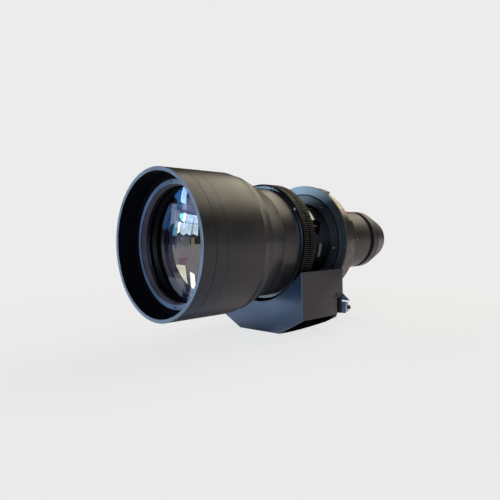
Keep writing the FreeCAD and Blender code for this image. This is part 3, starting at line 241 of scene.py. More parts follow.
# painted shade: the darkest black, for the underside of the drive box and the tooth gaps
painted_shade_black = black_finish("painted_shade_under", (0.002, 0.002, 0.003), 0.80, TEXTURED_PAINT, 3.0e-5, 0.0,
                           0.0, 1.05)
neck_black = black_finish("deep_black_neck", (0.004, 0.003, 0.004), 0.40, BLASTED, 2.0e-5, 0.8, 0.12)
sheet_black = black_finish("textured_black_sheet", (0.024, 0.0205, 0.021), 0.42, TEXTURED_PAINT, 3.0e-5, 0.0,
                           0.65)
plastic_black = black_finish("moulded_black_plastic", (0.012, 0.014, 0.018), 0.40, MOULDED, 2.0e-5, 0.0, 0.8)
blacks = (satin_black, rim_black, flange_black, rim_face_painted_blue_light, tooth_painted_highlight, step_painted_warm_light, flat_black, ring_face_painted_blue_light,
          ring_black, screw_black, box_front_painted_blue_reflection, painted_shade_black, neck_black, sheet_black, plastic_black)
print("black finishes:", len(blacks))

# %% [markdown]
# ## Bright metals
# The bayonet ring is passivated aluminium. The thin clear film shifts from straw to blue and pink
# as its thickness varies, so a noise drives a ramp of tints. Bright stops in that ramp are painted
# glints, and they show only in the upper part, where the top lamp falls; lower down the metal is a
# plain dull bronze. The screws are zinced steel, the plate on the neck has the same clear film, and
# the pinions and rollers are brass.

# %% Bright metals


def bright_finish(name, stops, roughness, ring_share=0.6, tint_scale=42.0, plain=None):
    """A bare metal with turned rings and a tint that wanders; given a plain colour, the tints with their
    painted glints show only higher up, and the plain colour takes over lower down.
    """
    net = Net(name)
    tint = net.noise(tint_scale, 3.0, rough=0.6)
    rings = net.noise(1.0, 3.0, net.mapped((9.0, 3200.0, 9.0)))
    grain = net.noise(4200.0, 2.0)
    colour = net.ramp(tint, stops)
    # painted glints: the ramp of tints shows only above a height, where the top lamp falls, and the plain
    # colour below it
    if plain:
        height = net.add("ShaderNodeSeparateXYZ", {0: net.place}).outputs["Z"]
        above = net.add("ShaderNodeMapRange", {"Value": height, "From Min": 0.008, "From Max": 0.030})
        blend = net.add("ShaderNodeMix", data_type="RGBA")
        net.feed(blend.inputs["Factor"], above.outputs[0])
        net.feed(blend.inputs[6], net.ramp(tint, plain))
        net.feed(blend.inputs[7], colour)
        colour = blend.outputs[2]
    return net.surface({
        "Base Color": colour,
        "Metallic": 1.0,
        "Roughness": net.span(grain, roughness - 0.05, roughness + 0.06),
        "Normal": net.bump(net.sum(grain, rings, ring_share), 1.4e-5)})


# painted glints: the bright stops among the film's tints
film_tints_and_painted_glints = [(0.32, (0.05, 0.048, 0.042)), (0.40, (0.10, 0.095, 0.080)), (0.44, (0.52, 0.42, 0.12)),
           (0.47, (0.03, 0.035, 0.055)), (0.50, (0.13, 0.125, 0.11)), (0.53, (0.06, 0.22, 0.34)),
           (0.56, (0.07, 0.065, 0.058)), (0.60, (0.36, 0.13, 0.16)), (0.63, (0.06, 0.058, 0.052)),
           (0.70, (0.30, 0.28, 0.24))]
bronze = [(0.35, (0.100, 0.092, 0.082)), (0.65, (0.170, 0.158, 0.140))]
bright_bayonet = bright_finish("passivated_bayonet", film_tints_and_painted_glints, 0.26, 0.9, 210.0, bronze)
steel = bright_finish("zinced_steel", [(0.35, (0.50, 0.50, 0.51)), (0.65, (0.64, 0.64, 0.64))], 0.32)
plate_steel = bright_finish("plated_sheet", [(0.35, (0.16, 0.20, 0.26)), (0.65, (0.26, 0.29, 0.33))], 0.30)
brass = bright_finish("turned_brass", [(0.35, (0.60, 0.43, 0.19)), (0.65, (0.76, 0.58, 0.29))], 0.30)
gold = bright_finish("gold_contact", [(0.35, (0.78, 0.55, 0.22)), (0.65, (0.86, 0.66, 0.32))], 0.22)
bright_plate = bright_finish("passivated_plate", [(0.36, (0.90, 0.84, 0.62)), (0.46, (0.95, 0.93, 0.85)),
                                                  (0.54, (0.55, 0.75, 0.95)), (0.62, (0.95, 0.80, 0.35))],
                             0.45, 0.2, 260.0)
print("bright metals:", len((bright_bayonet, steel, plate_steel, brass, gold, bright_plate)))

# %% [markdown]
# ## Glass
# A lens element is clear glass, and each face has its own thin coating. A coating takes away most of
# the mirror image and tints what is left: the front face keeps a dim deep blue, the second element a
# warm white, and the faces behind it keep violet, green and pink. So each face is a material of its
# own: the strength and the tint are plain numbers on the shader, and a slow noise in the roughness
# stands for a wiped surface.
# The edge of an element is ground and blackened, which stops stray light inside the lens.

# %% Glass


def coated_glass(name, tint, index=1.4, mirror=0.0):
    """Clear glass with one coated face: the tint of its mirror image, and how much of it is a mirror."""
    net = Net(name)
    wipes = net.noise(30.0, 4.0)
    return net.surface({
        "Base Color": net.ramp(wipes, [(0.3, (0.92, 0.93, 0.89)), (0.7, (0.97, 0.96, 0.93))]),
        "Metallic": mirror,
        "Roughness": net.span(wipes, 0.0, 0.008),
        "Transmission Weight": 1.0,
        "IOR": index,
        "Specular Tint": (*tint, 1.0)})


blue_coat = coated_glass("blue_coated_glass", (0.0, 0.20, 1.0))
dim_coat = coated_glass("dim_coated_glass", (0.0, 0.0, 0.1))
warm_coat = coated_glass("warm_coated_glass", (0.95, 0.92, 0.88), 1.6, 0.28)
violet_coat = coated_glass("violet_coated_glass", (0.60, 0.20, 0.70), 1.6)
green_coat = coated_glass("green_coated_glass", (0.45, 0.60, 0.20), 1.5)
pink_coat = coated_glass("pink_coated_glass", (0.60, 0.20, 0.18), 1.5)
print("glass coatings:", len((blue_coat, dim_coat, warm_coat, violet_coat, green_coat, pink_coat)))

# %% [markdown]
# ## Paints and small finishes
# The neck carries a grey stop and a red index line, and the front toothed ring a white dot. The
# connector, its washer and screw and the circuit board have their own colours, and the bracket's blue
# grey is a painted blue reflection of the light in front. All are painted, printed or moulded, so they
# are plain dielectrics with slow clouds and a fine grain.

# %% Paints
FADED = 0.88
FRESH = 1.06


def paint(name, colour, roughness):
    """A painted or moulded surface in one colour with clouds and grain."""
    net = Net(name)
    clouds = net.noise(90.0, 4.0)
    return net.surface({
        "Base Color": net.ramp(clouds, [(0.35, tuple(c * FADED for c in colour)),
                                        (0.65, tuple(min(c * FRESH, 1.0) for c in colour))]),
        "Roughness": net.span(clouds, roughness - 0.06, roughness + 0.06),
        "Normal": net.bump(net.noise(2600.0, 2.0), 1.0e-5)})


white_ink = paint("white_ink", (0.80, 0.80, 0.79), 0.5)
grey_plate = paint("grey_plate", (0.20, 0.20, 0.205), 0.42)
red_ink = paint("red_ink", (0.50, 0.16, 0.14), 0.45)
washer_white = paint("washer_white", (0.80, 0.80, 0.78), 0.40)
brown_head = paint("brown_screw_head", (0.055, 0.035, 0.028), 0.35)
# painted reflection: the bracket's blue grey stands in for the blue light it would mirror
bracket_painted_blue_reflection = paint("bracket_painted_blue_reflection_paint", (0.050, 0.095, 0.150), 0.35)
pale_plastic = paint("pale_plastic", (0.50, 0.53, 0.56), 0.40)
board_green = paint("board_lacquer", (0.02, 0.13, 0.05), 0.30)
print("paints:", len((white_ink, grey_plate, red_ink, washer_white, brown_head, bracket_painted_blue_reflection, pale_plastic,
                      board_green)))

# %% [markdown]
# ## Dress the solids
# Most solids already have the right shape, so they stay and only take a finish. Some turned solids
# then take a further finish on the faces that look forward, outward or into the bore: a face cut after
# blasting mirrors more, and the inside of a hood is painted flat. The forward faces of the hood rim and
# the retaining ring are painted a lighter blue black, as painted blue light, and the sloping step of the
# ring a lighter warm black, as painted warm light.

# %% Give each node its finish
finishes = {
    satin_black: ["hood", "front_barrel", "rear_barrel", "rear_cell", "barrel_flange"],
    neck_black: ["zoom_cam_tube", "zoom_drive_plate"],
    rim_black: ["cam_retainer"],
    flange_black: ["mount_flange"],
    ring_black: ["front_retaining_ring", "focus_gear_ring", "zoom_gear_ring"],
    flat_black: ["front_cell", "front_group_rings", "zoom_front_cell", "zoom_rear_cell", "main_barrel",
                 "zoom_guide_tube", "relay_front_cell", "relay_rear_cell", "relay_stop_rings",
                 "rear_collar"],
    box_front_painted_blue_reflection: ["box_front_plate"],
    sheet_black: ["box_cover", "box_rear_plate"],
    plastic_black: ["focus_sensor", "zoom_sensor"],
    pale_plastic: ["dock_connector"],
    bright_bayonet: ["bayonet_ring"],
    plate_steel: ["motor_plate"],
    bracket_painted_blue_reflection: ["dock_bracket"],
    brown_head: ["box_screws"],
    steel: ["mount_screws", "motor_plate_screws", "drive_pillars", "focus_motor",
            "zoom_motor", "focus_key_pins", "drive_plate_screws"],
    brass: ["focus_helicoid_sleeve", "zoom_front_cell_followers", "zoom_rear_cell_followers",
            "focus_pinion", "zoom_pinion", "focus_sensor_gear", "zoom_sensor_gear"],
    gold: ["dock_contacts"],
    blue_coat: ["front_element", "second_element", "third_element", "rear_element", "relay_glasses",
                "zoom_front_cell_glass", "zoom_rear_cell_glass"],
    white_ink: ["focus_index_dot"],
    bright_plate: ["zoom_scale_plate"],
    grey_plate: ["zoom_end_stop"],
    red_ink: ["zoom_index_line"],
    washer_white: ["dock_side_screw"],
    board_green: ["control_board"],
}
for material, names in finishes.items():
    for name in names:
        solid = nodes[name].data
        solid.materials.clear()
        solid.materials.append(material)
        print("finish", material.name, "on", name)


def face_finish(name, finish, wanted):
    """A further finish on some faces of a turned solid, by their forward and outward normal."""
    solid = nodes[name].data
    solid.materials.append(finish)
    count = 0
    for face in solid.polygons:
        radius = math.hypot(face.center.x, face.center.z)
        outward = (face.normal.x * face.center.x + face.normal.z * face.center.z) / radius
        if wanted(-face.normal.y, outward):
            face.material_index = len(solid.materials) - 1
            count += 1
    print("further finish", finish.name, "on", name, count)


# painted blue light on the forward face of the hood rim
face_finish("hood", rim_face_painted_blue_light, lambda forward, outward: forward > 0.6)
face_finish("hood", flat_black, lambda forward, outward: outward < -0.8)
face_finish("front_barrel", flat_black, lambda forward, outward: forward > 0.5)
face_finish("mount_flange", satin_black, lambda forward, outward: outward > 0.5)
# painted blue light on the forward faces of the retaining ring
face_finish("front_retaining_ring", ring_face_painted_blue_light, lambda forward, outward: forward > 0.6)
# painted warm light on the sloping step of the ring
face_finish("front_retaining_ring", step_painted_warm_light, lambda forward, outward: 0.1 < forward < 0.6)
face_finish("front_retaining_ring", flat_black, lambda forward, outward: abs(forward) < 0.1 and outward < 0)
print("still bare:", sorted(set(nodes) - {name for names in finishes.values() for name in names}))

# %% [markdown]
# ## Turned pieces
# A turned piece is a profile swept round an axis. The profile is a closed list of (radius, station)
# points, and each stretch of it can have its own finish. Corners that are sharper than 30 degrees
# stay crisp, and the rest is shaded smooth. A point on the axis is one vertex, so that the middle closes.

# %% Sweep a profile round the lens axis
CRISP = math.radians(30)
ON_AXIS = 1e-6


def settle(mesh, name, materials):
    """Make a mesh into a piece: its finishes, and smooth shading with crisp corners."""
    for material in materials:
        mesh.materials.append(material)
    mesh.shade_smooth()
    mesh.set_sharp_from_angle(angle=CRISP)
    piece = bpy.data.objects.new(name, mesh)
    scene.collection.objects.link(piece)
    return piece


def spin(name, stretches, segments):
    """A turned piece from stretches of (finish, points); the last point closes on the first."""
    materials = []
    rows = []
    for material, points in stretches:
        if material not in materials:
            materials.append(material)
        rows += [(point, materials.index(material)) for point in points]
    work = bmesh.new()
    rings = []
    for (radius, place), _ in rows:
        if radius < ON_AXIS:
            rings.append([work.verts.new((0, station(place), 0))] * segments)
            continue
        rings.append([work.verts.new((radius / 1000 * math.cos(2 * math.pi * s / segments),
                                      station(place),
                                      radius / 1000 * math.sin(2 * math.pi * s / segments)))
                      for s in range(segments)])
    for row, (_, finish) in enumerate(rows):
        after = (row + 1) % len(rows)
        for s in range(segments):
            e = (s + 1) % segments
            corners = [rings[row][s], rings[row][e], rings[after][e], rings[after][s]]
            corners = list(dict.fromkeys(corners))
            if len(corners) > 2:
                work.faces.new(corners).material_index = finish
    bmesh.ops.recalc_face_normals(work, faces=work.faces)
    mesh = bpy.data.meshes.new(name)
    work.to_mesh(mesh)
    work.free()
    return settle(mesh, name, materials)


def stand_for(piece, body, *solids):
    """Let a piece ride on a body, in place of some solids."""
    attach(piece, body)
    if solids:
        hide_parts(*solids)


print("sweep tool ready")

# %% [markdown]
# ## Lens elements
# A lens element is polished to true spherical faces, and its rim is ground. The solids have the right
# sizes, but their faces are made of flat facets, which would break up a mirror image. So the elements
# that can be seen from either end are swept again from the radius of their curve, in fine steps.

# %% Lens elements
STEPS = 14
GLASS_SEGMENTS = 96


def bow(curve, radius):
    """How far a spherical face has fallen back at a radius."""
    return curve - math.sqrt(curve * curve - radius * radius)


def element(name, radius, apex, curve, depth, back_curve, coats, hollow):
    """A lens element from the station of its front apex; the back of a hollow one bends its way too."""
    way = 1 if hollow else -1
    back = apex + depth
    reaches = [radius * s / STEPS for s in range(STEPS + 1)]
    front_face = [(reach, apex + bow(curve, reach)) for reach in reaches[:-1]]
    edge = [(radius, apex + bow(curve, radius))]
    back_face = [(reach, back + way * bow(back_curve, reach)) for reach in reversed(reaches)]
    return spin(name, [(coats[0], front_face), (flat_black, edge), (coats[1], back_face)], GLASS_SEGMENTS)


ELEMENTS = [
    ("front_element", "front_element_glass", "focus_carriage",
     62.0, 23.4, 487.0, 8.0, 400.0, (blue_coat, dim_coat), True),
    ("second_element", "second_element_glass", "focus_carriage",
     57.0, 33.0, 200.0, 8.0, 400.0, (warm_coat, violet_coat), True),
    ("third_element", "third_element_glass", "focus_carriage",
     57.0, 60.0, 220.0, 16.0, 300.0, (green_coat, pink_coat), False),
    ("zoom_front_cell_glass", "zoom_front_glass", "zoom_front_group",
     35.0, 174.0, 120.0, 10.0, 150.0, (green_coat, violet_coat), False),
    ("zoom_rear_cell_glass", "zoom_rear_glass", "zoom_rear_group",
     35.0, 196.0, 150.0, 10.0, 110.0, (violet_coat, pink_coat), False),
    ("rear_element", "rear_element_glass", "lens_core",
     25.0, 350.0, 60.0, 11.0, 150.0, (green_coat, violet_coat), False),
]
for node, name, body, *sizes, coats, hollow in ELEMENTS:
    stand_for(element(name, *sizes, coats, hollow), body, node)
nodes["relay_glasses"].data.materials[0] = violet_coat
print("glass elements:", len(ELEMENTS))

# %% [markdown]
# ## A dark ring as painted shadow
# A thin flat black ring lies round the retainer, against the flange. It is a dark piece put where
# there is only shade: from the front it draws the fine dark shadow line between the two discs.

# %% Dark ring for the shadow line
shadow_line_ring = spin("flange_seal", [(flat_black, [
    (56.7, 216.0), (56.7, 215.5), (56.9, 215.3), (58.1, 215.3), (58.3, 215.5), (58.3, 216.0)])], 160)
stand_for(shadow_line_ring, "lens_core")
print("shadow line ring made")

# %% [markdown]
# ## What repeats round the axis
# Gear teeth and screws repeat round the lens, so one small node tree makes them all: it puts copies
# of a shape round the Y axis from a first angle, at equal steps, and ends as real geometry with its
# finish. The count, the first angle and the step are inputs of the tree, so one tree serves the
# 188 teeth of a ring and the six screws of a flange.

# %% A node tree that repeats a shape round the axis


def repeat_tree():
    """The node tree: copies of an object, turned round the Y axis."""
    tree = bpy.data.node_groups.new("repeat_round_axis", "GeometryNodeTree")
    for title, kind in (("Shape", "Object"), ("Count", "Int"), ("First Angle", "Float"),
                        ("Step Angle", "Float"), ("Finish", "Material")):
        tree.interface.new_socket(title, in_out="INPUT", socket_type="NodeSocket" + kind)
    tree.interface.new_socket("Geometry", in_out="OUTPUT", socket_type="NodeSocketGeometry")
    inputs = tree.nodes.new("NodeGroupInput")
    outputs = tree.nodes.new("NodeGroupOutput")
    line = tree.nodes.new("GeometryNodeMeshLine")
    line.inputs["Offset"].default_value = (0, 0, 0)
    number = tree.nodes.new("GeometryNodeInputIndex")
    swing = tree.nodes.new("ShaderNodeMath")
    swing.operation = "MULTIPLY_ADD"
    below = tree.nodes.new("ShaderNodeMath")
    below.operation = "MULTIPLY"
    below.inputs[1].default_value = -1.0
    euler = tree.nodes.new("ShaderNodeCombineXYZ")
    shape = tree.nodes.new("GeometryNodeObjectInfo")
    copies = tree.nodes.new("GeometryNodeInstanceOnPoints")
    real = tree.nodes.new("GeometryNodeRealizeInstances")
    finish = tree.nodes.new("GeometryNodeSetMaterial")
    link = tree.links.new
    link(inputs.outputs["Count"], line.inputs["Count"])
    link(number.outputs[0], swing.inputs[0])
    link(inputs.outputs["Step Angle"], swing.inputs[1])
    link(inputs.outputs["First Angle"], swing.inputs[2])
    link(swing.outputs[0], below.inputs[0])
    link(below.outputs[0], euler.inputs["Y"])
    link(inputs.outputs["Shape"], shape.inputs["Object"])
    link(line.outputs[0], copies.inputs["Points"])
    link(shape.outputs["Geometry"], copies.inputs["Instance"])
    link(euler.outputs[0], copies.inputs["Rotation"])
    link(copies.outputs[0], real.inputs[0])
    link(real.outputs[0], finish.inputs["Geometry"])
    link(inputs.outputs["Finish"], finish.inputs["Material"])
    link(finish.outputs[0], outputs.inputs["Geometry"])
    return tree


repeat = repeat_tree()


def repeated(shape, count, first, step, finish):
    """A plain mesh of copies of a shape round the axis; angles are degrees from +X toward +Z."""
    host = bpy.data.objects.new("repeat_host", bpy.data.meshes.new("repeat_host"))
    scene.collection.objects.link(host)
    modifier = host.modifiers.new("repeat", "NODES")
    modifier.node_group = repeat
    values = {"Shape": shape, "Count": count, "First Angle": math.radians(first),
              "Step Angle": math.radians(step), "Finish": finish}
    for socket in repeat.interface.items_tree:
        if socket.in_out == "INPUT":
            modifier[socket.identifier] = values[socket.name]
    bpy.context.view_layer.update()
    evaluated = host.evaluated_get(bpy.context.evaluated_depsgraph_get())
    mesh = bpy.data.meshes.new_from_object(evaluated)
    bpy.data.objects.remove(host)
    return mesh


print("repeat tree:", len(repeat.nodes), "nodes")

# %% Shapes to repeat, and meshes to join


def shape_object(name, work):
    """A hidden shape for the node tree to copy."""
    bmesh.ops.recalc_face_normals(work, faces=work.faces)
    mesh = bpy.data.meshes.new(name)
    work.to_mesh(mesh)
    work.free()
    thing = bpy.data.objects.new(name, mesh)
    scene.collection.objects.link(thing)
    return thing


def joined(name, meshes):
    """Several meshes as one piece, each with its own finishes."""
    work = bmesh.new()
    materials = []
    for mesh in meshes:
        shift = []
        for material in mesh.materials:
            if material not in materials:
                materials.append(material)
            shift.append(materials.index(material))
        before = len(work.faces)
        work.from_mesh(mesh)
        work.faces.ensure_lookup_table()
        for face in work.faces[before:]:
            face.material_index = shift[face.material_index]
    whole = bpy.data.meshes.new(name)
    work.to_mesh(whole)
    work.free()
    return settle(whole, name, materials)


print("shape tools ready")

# %% [markdown]
# ## Toothed rings
# A module 0.7 tooth is 2.2 mm from its neighbour and 1.6 mm high. The hob leaves curved flanks, and
# the edges are broken by about 0.1 mm. Those small bevels catch the light, and that is what draws
# the fine bright strokes on a real gear. The tooth faces that catch light are also painted a lighter,
# warm black than the ring, as a painted highlight. The gaps and the ends that look forward see little
# light, so they are painted the darkest black, as painted shade.

# %% Teeth and toothed rings
TEETH = 188
TIP = 66.5
ROOT = 64.925
HOOP_EDGE = 64.6
HOOP_CHAMFER = 0.3
BROKEN = 0.16
FLANK_SHARE = 0.6
NARROWEST = 0.08
LIT_FROM = 0.0664
FACES_FORWARD = -0.3
TOOTH = [(64.75, 0.86), (65.2, 0.74), (65.8, 0.51), (66.3, 0.315), (66.46, 0.24), (66.5, 0.17)]


def tooth(start, width):
    """One tooth on +X with broken edges, from a station and along the lens."""
    work = bmesh.new()
    end = start + width
    sections = [(start, BROKEN), (start + BROKEN, 0.0), (end - BROKEN, 0.0), (end, BROKEN)]
    loops = []
    for place, shrink in sections:
        right = [(min(radius, TIP - shrink), max(half - shrink * FLANK_SHARE, NARROWEST))
                 for radius, half in TOOTH]
        outline = right + [(radius, -half) for radius, half in reversed(right)]
        loops.append([work.verts.new((radius / 1000, station(place), half / 1000))
                      for radius, half in outline])
    for low, high in zip(loops, loops[1:]):
        for corner in range(len(low)):
            after = (corner + 1) % len(low)
            work.faces.new([low[corner], low[after], high[after], high[corner]])
    work.faces.new(loops[0])
    work.faces.new(loops[-1])
    return shape_object("tooth_shape", work)


def toothed_ring(name, node, body, start, width, bore):
    """A ring body and its teeth as one piece."""
    shape = tooth(start, width)
    teeth = repeated(shape, TEETH, 0.0, 360 / TEETH, tooth_painted_highlight)
    bpy.data.objects.remove(shape)
    end = start + width
    hoop = spin(name + "_hoop", [
        (ring_black, [(bore, start), (64.2, start)]),
        (painted_shade_black, [(HOOP_EDGE, start), (ROOT, start + HOOP_CHAMFER), (ROOT, end - HOOP_CHAMFER)]),
        (flat_black, [(HOOP_EDGE, end), (bore, end)])], TEETH)
    ring = joined(name, [hoop.data, teeth])
    bpy.data.objects.remove(hoop)
    # painted shade: low tooth faces and those that look forward take the darkest black
    dark = ring.data.materials.find(painted_shade_black.name)
    for face in ring.data.polygons:
        low = math.hypot(face.center.x, face.center.z) < LIT_FROM
        hidden = low or face.normal.y < FACES_FORWARD
        if hidden and ring.data.materials[face.material_index] == tooth_painted_highlight:
            face.material_index = dark
    stand_for(ring, body, node)
    print(name, "faces:", len(ring.data.polygons))


toothed_ring("focus_ring_teeth", "focus_gear_ring", "focus_ring", 142.5, 9.0, 59.65)
toothed_ring("zoom_ring_teeth", "zoom_gear_ring", "zoom_ring", 152.4, 9.2, 58.3)

# %% [markdown]
# ## Screws
# A socket screw is turned, so its head has a small chamfer, and a hexagon is broached into it. The
# same screw shape serves everywhere, only its sizes and its place change. These are screws with low
# heads, half as high as the thread is wide.

# %% Screw tools
SMALL_SCREW = (1.0, 1.9)
LARGE_SCREW = (1.5, 2.85)
SIDES = 24
CHAMFER = 0.16
HEXAGON = 0.8
HEXAGON_FLOOR = 0.4


def screw_shape(radius, head, face, reach, shank, way):
    """A socket screw along the lens whose head stands on a face; way is 1 for a head toward -Y."""
    work = bmesh.new()
    bevel = head * CHAMFER

    def ring(size, along, sides):
        """A ring of points round the screw's own axis."""
        return [work.verts.new(((reach + size * math.cos(2 * math.pi * s / sides)) / 1000,
                                station(face + way * along),
                                size * math.sin(2 * math.pi * s / sides) / 1000)) for s in range(sides)]

    profile = [(radius, shank), (radius, 0.0), (head, 0.0), (head, -radius + bevel), (head - bevel, -radius)]
    rings = [ring(size, along, SIDES) for size, along in profile]
    for low, high in zip(rings, rings[1:]):
        for s in range(SIDES):
            e = (s + 1) % SIDES
            work.faces.new([low[s], low[e], high[e], high[s]])
    work.faces.new(rings[0])
    mouth, floor = [ring(radius * HEXAGON, depth, 6) for depth in (-radius, -radius * HEXAGON_FLOOR)]
    for s in range(6):
        e = (s + 1) % 6
        work.faces.new([mouth[s], mouth[e], floor[e], floor[s]])
        rim = [rings[-1][(4 * s + k) % SIDES] for k in range(5)]
        work.faces.new([mouth[s], *rim, mouth[e]])
    work.faces.new(floor)
    return shape_object("screw_shape", work)


def screw_ring(size, face, reach, shank, count, first, step, way=1, finish=steel):
    """Screws at equal steps round the lens."""
    shape = screw_shape(*size, face, reach, shank, way)
    mesh = repeated(shape, count, first, step, finish)
    bpy.data.objects.remove(shape)
    return mesh


print("screw tools ready")

# %% Screws of the flange and the bayonet ring
retainer_screws = screw_ring(SMALL_SCREW, 213.0, 51.75, 2.8, 6, 50.0, 60.0, finish=screw_black)
flange_screws = screw_ring(LARGE_SCREW, 223.3, 51.975, 5.0, 6, 0.0, 60.0, way=-1)
SET_SCREW_REACH = 0.0372
SET_SCREW_RADIUS = 0.001
set_screws = bmesh.new()
for turn in (0, 120, 240):
    way = Vector((math.cos(math.radians(turn)), 0, math.sin(math.radians(turn))))
    spin_to = way.to_track_quat("Z", "Y").to_matrix().to_4x4()
    middle = way * SET_SCREW_REACH + Vector((0, station(282.0), 0))
    bmesh.ops.create_cone(set_screws, cap_ends=True, segments=20, radius1=SET_SCREW_RADIUS,
                          radius2=SET_SCREW_RADIUS, depth=0.0029,
                          matrix=Matrix.Translation(middle) @ spin_to)
edges = [edge for edge in set_screws.edges if edge.calc_face_angle(0) > 1.0]
bmesh.ops.bevel(set_screws, geom=edges, offset=0.00015, segments=1, affect="EDGES")
set_mesh = bpy.data.meshes.new("set_screws")
set_screws.to_mesh(set_mesh)
set_screws.free()
set_mesh.materials.append(steel)
stand_for(joined("mount_socket_screws", [retainer_screws, flange_screws, set_mesh]), "lens_core",
          "mount_screws")
print("retainer, flange and set screws:", 6 + 6 + 3)

# %% Screws of the drive plate and the motor plate
plate_screws = joined("drive_plate_socket_screws",
                      [screw_ring(SMALL_SCREW, 164.0, 61.4, 2.4, 6, 15.0, 60.0, way=-1)])
stand_for(plate_screws, "zoom_ring", "drive_plate_screws")


def screw_pair(face, reach, shank, turn, way=1):
    """Two large screws that mirror each other across the middle of the motor plate."""
    return screw_ring(LARGE_SCREW, face, reach, shank, 2, turn, -180.0 - 2 * turn, way)


motor_screws = [screw_ring(LARGE_SCREW, 167.5, 62.8, 10.0, 1, -90.0, 0.0),
                screw_pair(167.5, 62.8, 10.0, -37.235)]
for x, z in ((57.5, -45.0), (40.0, -87.0)):
    motor_screws.append(screw_pair(170.5, math.hypot(x, z), 3.0, math.degrees(math.atan2(z, x)), way=-1))
stand_for(joined("motor_plate_socket_screws", motor_screws), "lens_core", "motor_plate_screws")
print("drive plate and motor plate screws:", 6 + 7)

# %% [markdown]
# ## Broken edges
# Machined and folded parts never end in a knife edge. Copies of some solids get a narrow bevel,
# after their doubled corners are merged, and each copy stands for its solid. The underside of the
# drive box is painted the darkest black, as painted shade for the shadow under the lens.

# %% Bevel the edges that catch the light
FLAT = math.radians(0.5)


def broken_edges(node, body, width, finish, angle=35.0):
    """A copy of a solid with its sharp edges bevelled by a width in millimetres."""
    work = bmesh.new()
    work.from_mesh(nodes[node].data)
    bmesh.ops.remove_doubles(work, verts=work.verts, dist=1e-6)
    bmesh.ops.dissolve_limit(work, angle_limit=FLAT, verts=work.verts, edges=work.edges)
    sharp = [edge for edge in work.edges
             if len(edge.link_faces) == 2 and edge.calc_face_angle(0) > math.radians(angle)]
    bmesh.ops.bevel(work, geom=sharp, offset=width / 1000, segments=2, profile=0.5, affect="EDGES",
                    clamp_overlap=True)
    bmesh.ops.recalc_face_normals(work, faces=work.faces)
    mesh = bpy.data.meshes.new(node + "_edged")
    work.to_mesh(mesh)
    work.free()
    piece = settle(mesh, node + "_edged", [finish])
    stand_for(piece, body, node)
    print("broken edges on", node, len(mesh.polygons))
    return piece


broken_edges("zoom_scale_plate", "zoom_ring", 0.25, bright_plate)
broken_edges("zoom_end_stop", "zoom_ring", 0.25, grey_plate)
broken_edges("dock_bracket", "lens_core", 0.2, bracket_painted_blue_reflection)
broken_edges("dock_connector", "lens_core", 0.25, pale_plastic)
cover = broken_edges("box_cover", "lens_core", 0.3, sheet_black, 50.0)
# painted shade: the downward faces of the box take the darkest black
cover.data.materials.append(painted_shade_black)
underside = [face for face in cover.data.polygons if face.normal.z < -0.3]
for face in underside:
    face.material_index = 1
print("underside faces of the box:", len(underside))

# %% [markdown]
# ## The side screw of the connector
# A white plastic washer lies under a dark screw head with a dished middle, on the outer side of the
# connector. Both are turned shapes on an axis along X.

# %% Washer and screw head
SIDE_STATION = 214.2
SIDE_HEIGHT = -77.85
ROUND = 40


def across_turned(name, points, finish):
    """A turned piece on the side screw's axis, which lies along X, from (radius, x) points."""
    work = bmesh.new()
    rings = []
    for radius, x in points:
        count = ROUND if radius > ON_AXIS else 1
        rings.append([work.verts.new((
            x / 1000,
            station(SIDE_STATION) + radius / 1000 * math.cos(2 * math.pi * s / count),
            SIDE_HEIGHT / 1000 + radius / 1000 * math.sin(2 * math.pi * s / count)))
            for s in range(count)])
    for low, high in zip(rings, rings[1:]):
        for s in range(ROUND):
            e = (s + 1) % ROUND
            corners = list(dict.fromkeys([low[s % len(low)], low[e % len(low)],
                                          high[e % len(high)], high[s % len(high)]]))
            if len(corners) > 2:
                work.faces.new(corners)
    bmesh.ops.recalc_face_normals(work, faces=work.faces)
    mesh = bpy.data.meshes.new(name)
    work.to_mesh(mesh)
    work.free()
    return settle(mesh, name, [finish])


washer = across_turned("dock_washer", [(0, 67.5), (2.9, 67.5), (3.2, 67.8), (3.2, 69.2), (2.9, 69.5),
                                       (0, 69.5)], washer_white)
head = across_turned("dock_screw_head", [(0, 69.5), (2.6, 69.5), (2.6, 71.2), (2.2, 72.0), (1.5, 72.0),
                                         (1.2, 71.0), (0, 70.8)], brown_head)
stand_for(washer, "lens_core", "dock_side_screw")
stand_for(head, "lens_core")
print("washer and head made")

# %% [markdown]
# ## The studio
# The lens stands in a light, even studio. The floor and the surroundings show the camera one pale
# grey, and the floor keeps a faint shadow. To everything but the camera the surroundings are nearly
# dark, and the floor glows with a dim painted bounce light whose colour changes along the lens: blue in
# front of the hood, warm grey under and behind it. In front it glows brighter to the left, which gives
# the front of the drive box its fading blue.

# %% Surroundings
PALE = (0.839, 0.839, 0.839)
world = bpy.data.worlds.new("studio")
scene.world = world
world.use_nodes = True
tree = world.node_tree
tree.nodes.clear()


def sky(colour, strength):
    """A background node of the surroundings."""
    node = tree.nodes.new("ShaderNodeBackground")
    node.inputs["Color"].default_value = (*colour, 1.0)
    node.inputs["Strength"].default_value = strength
    return node


rays = tree.nodes.new("ShaderNodeLightPath")
seen = sky(PALE, 1.0)
fill = sky((1.0, 0.93, 0.96), 0.02)
mix = tree.nodes.new("ShaderNodeMixShader")
out = tree.nodes.new("ShaderNodeOutputWorld")
tree.links.new(rays.outputs["Is Camera Ray"], mix.inputs[0])
tree.links.new(fill.outputs[0], mix.inputs[1])
tree.links.new(seen.outputs[0], mix.inputs[2])
tree.links.new(mix.outputs[0], out.inputs[0])
print("surroundings:", len(tree.nodes), "nodes")

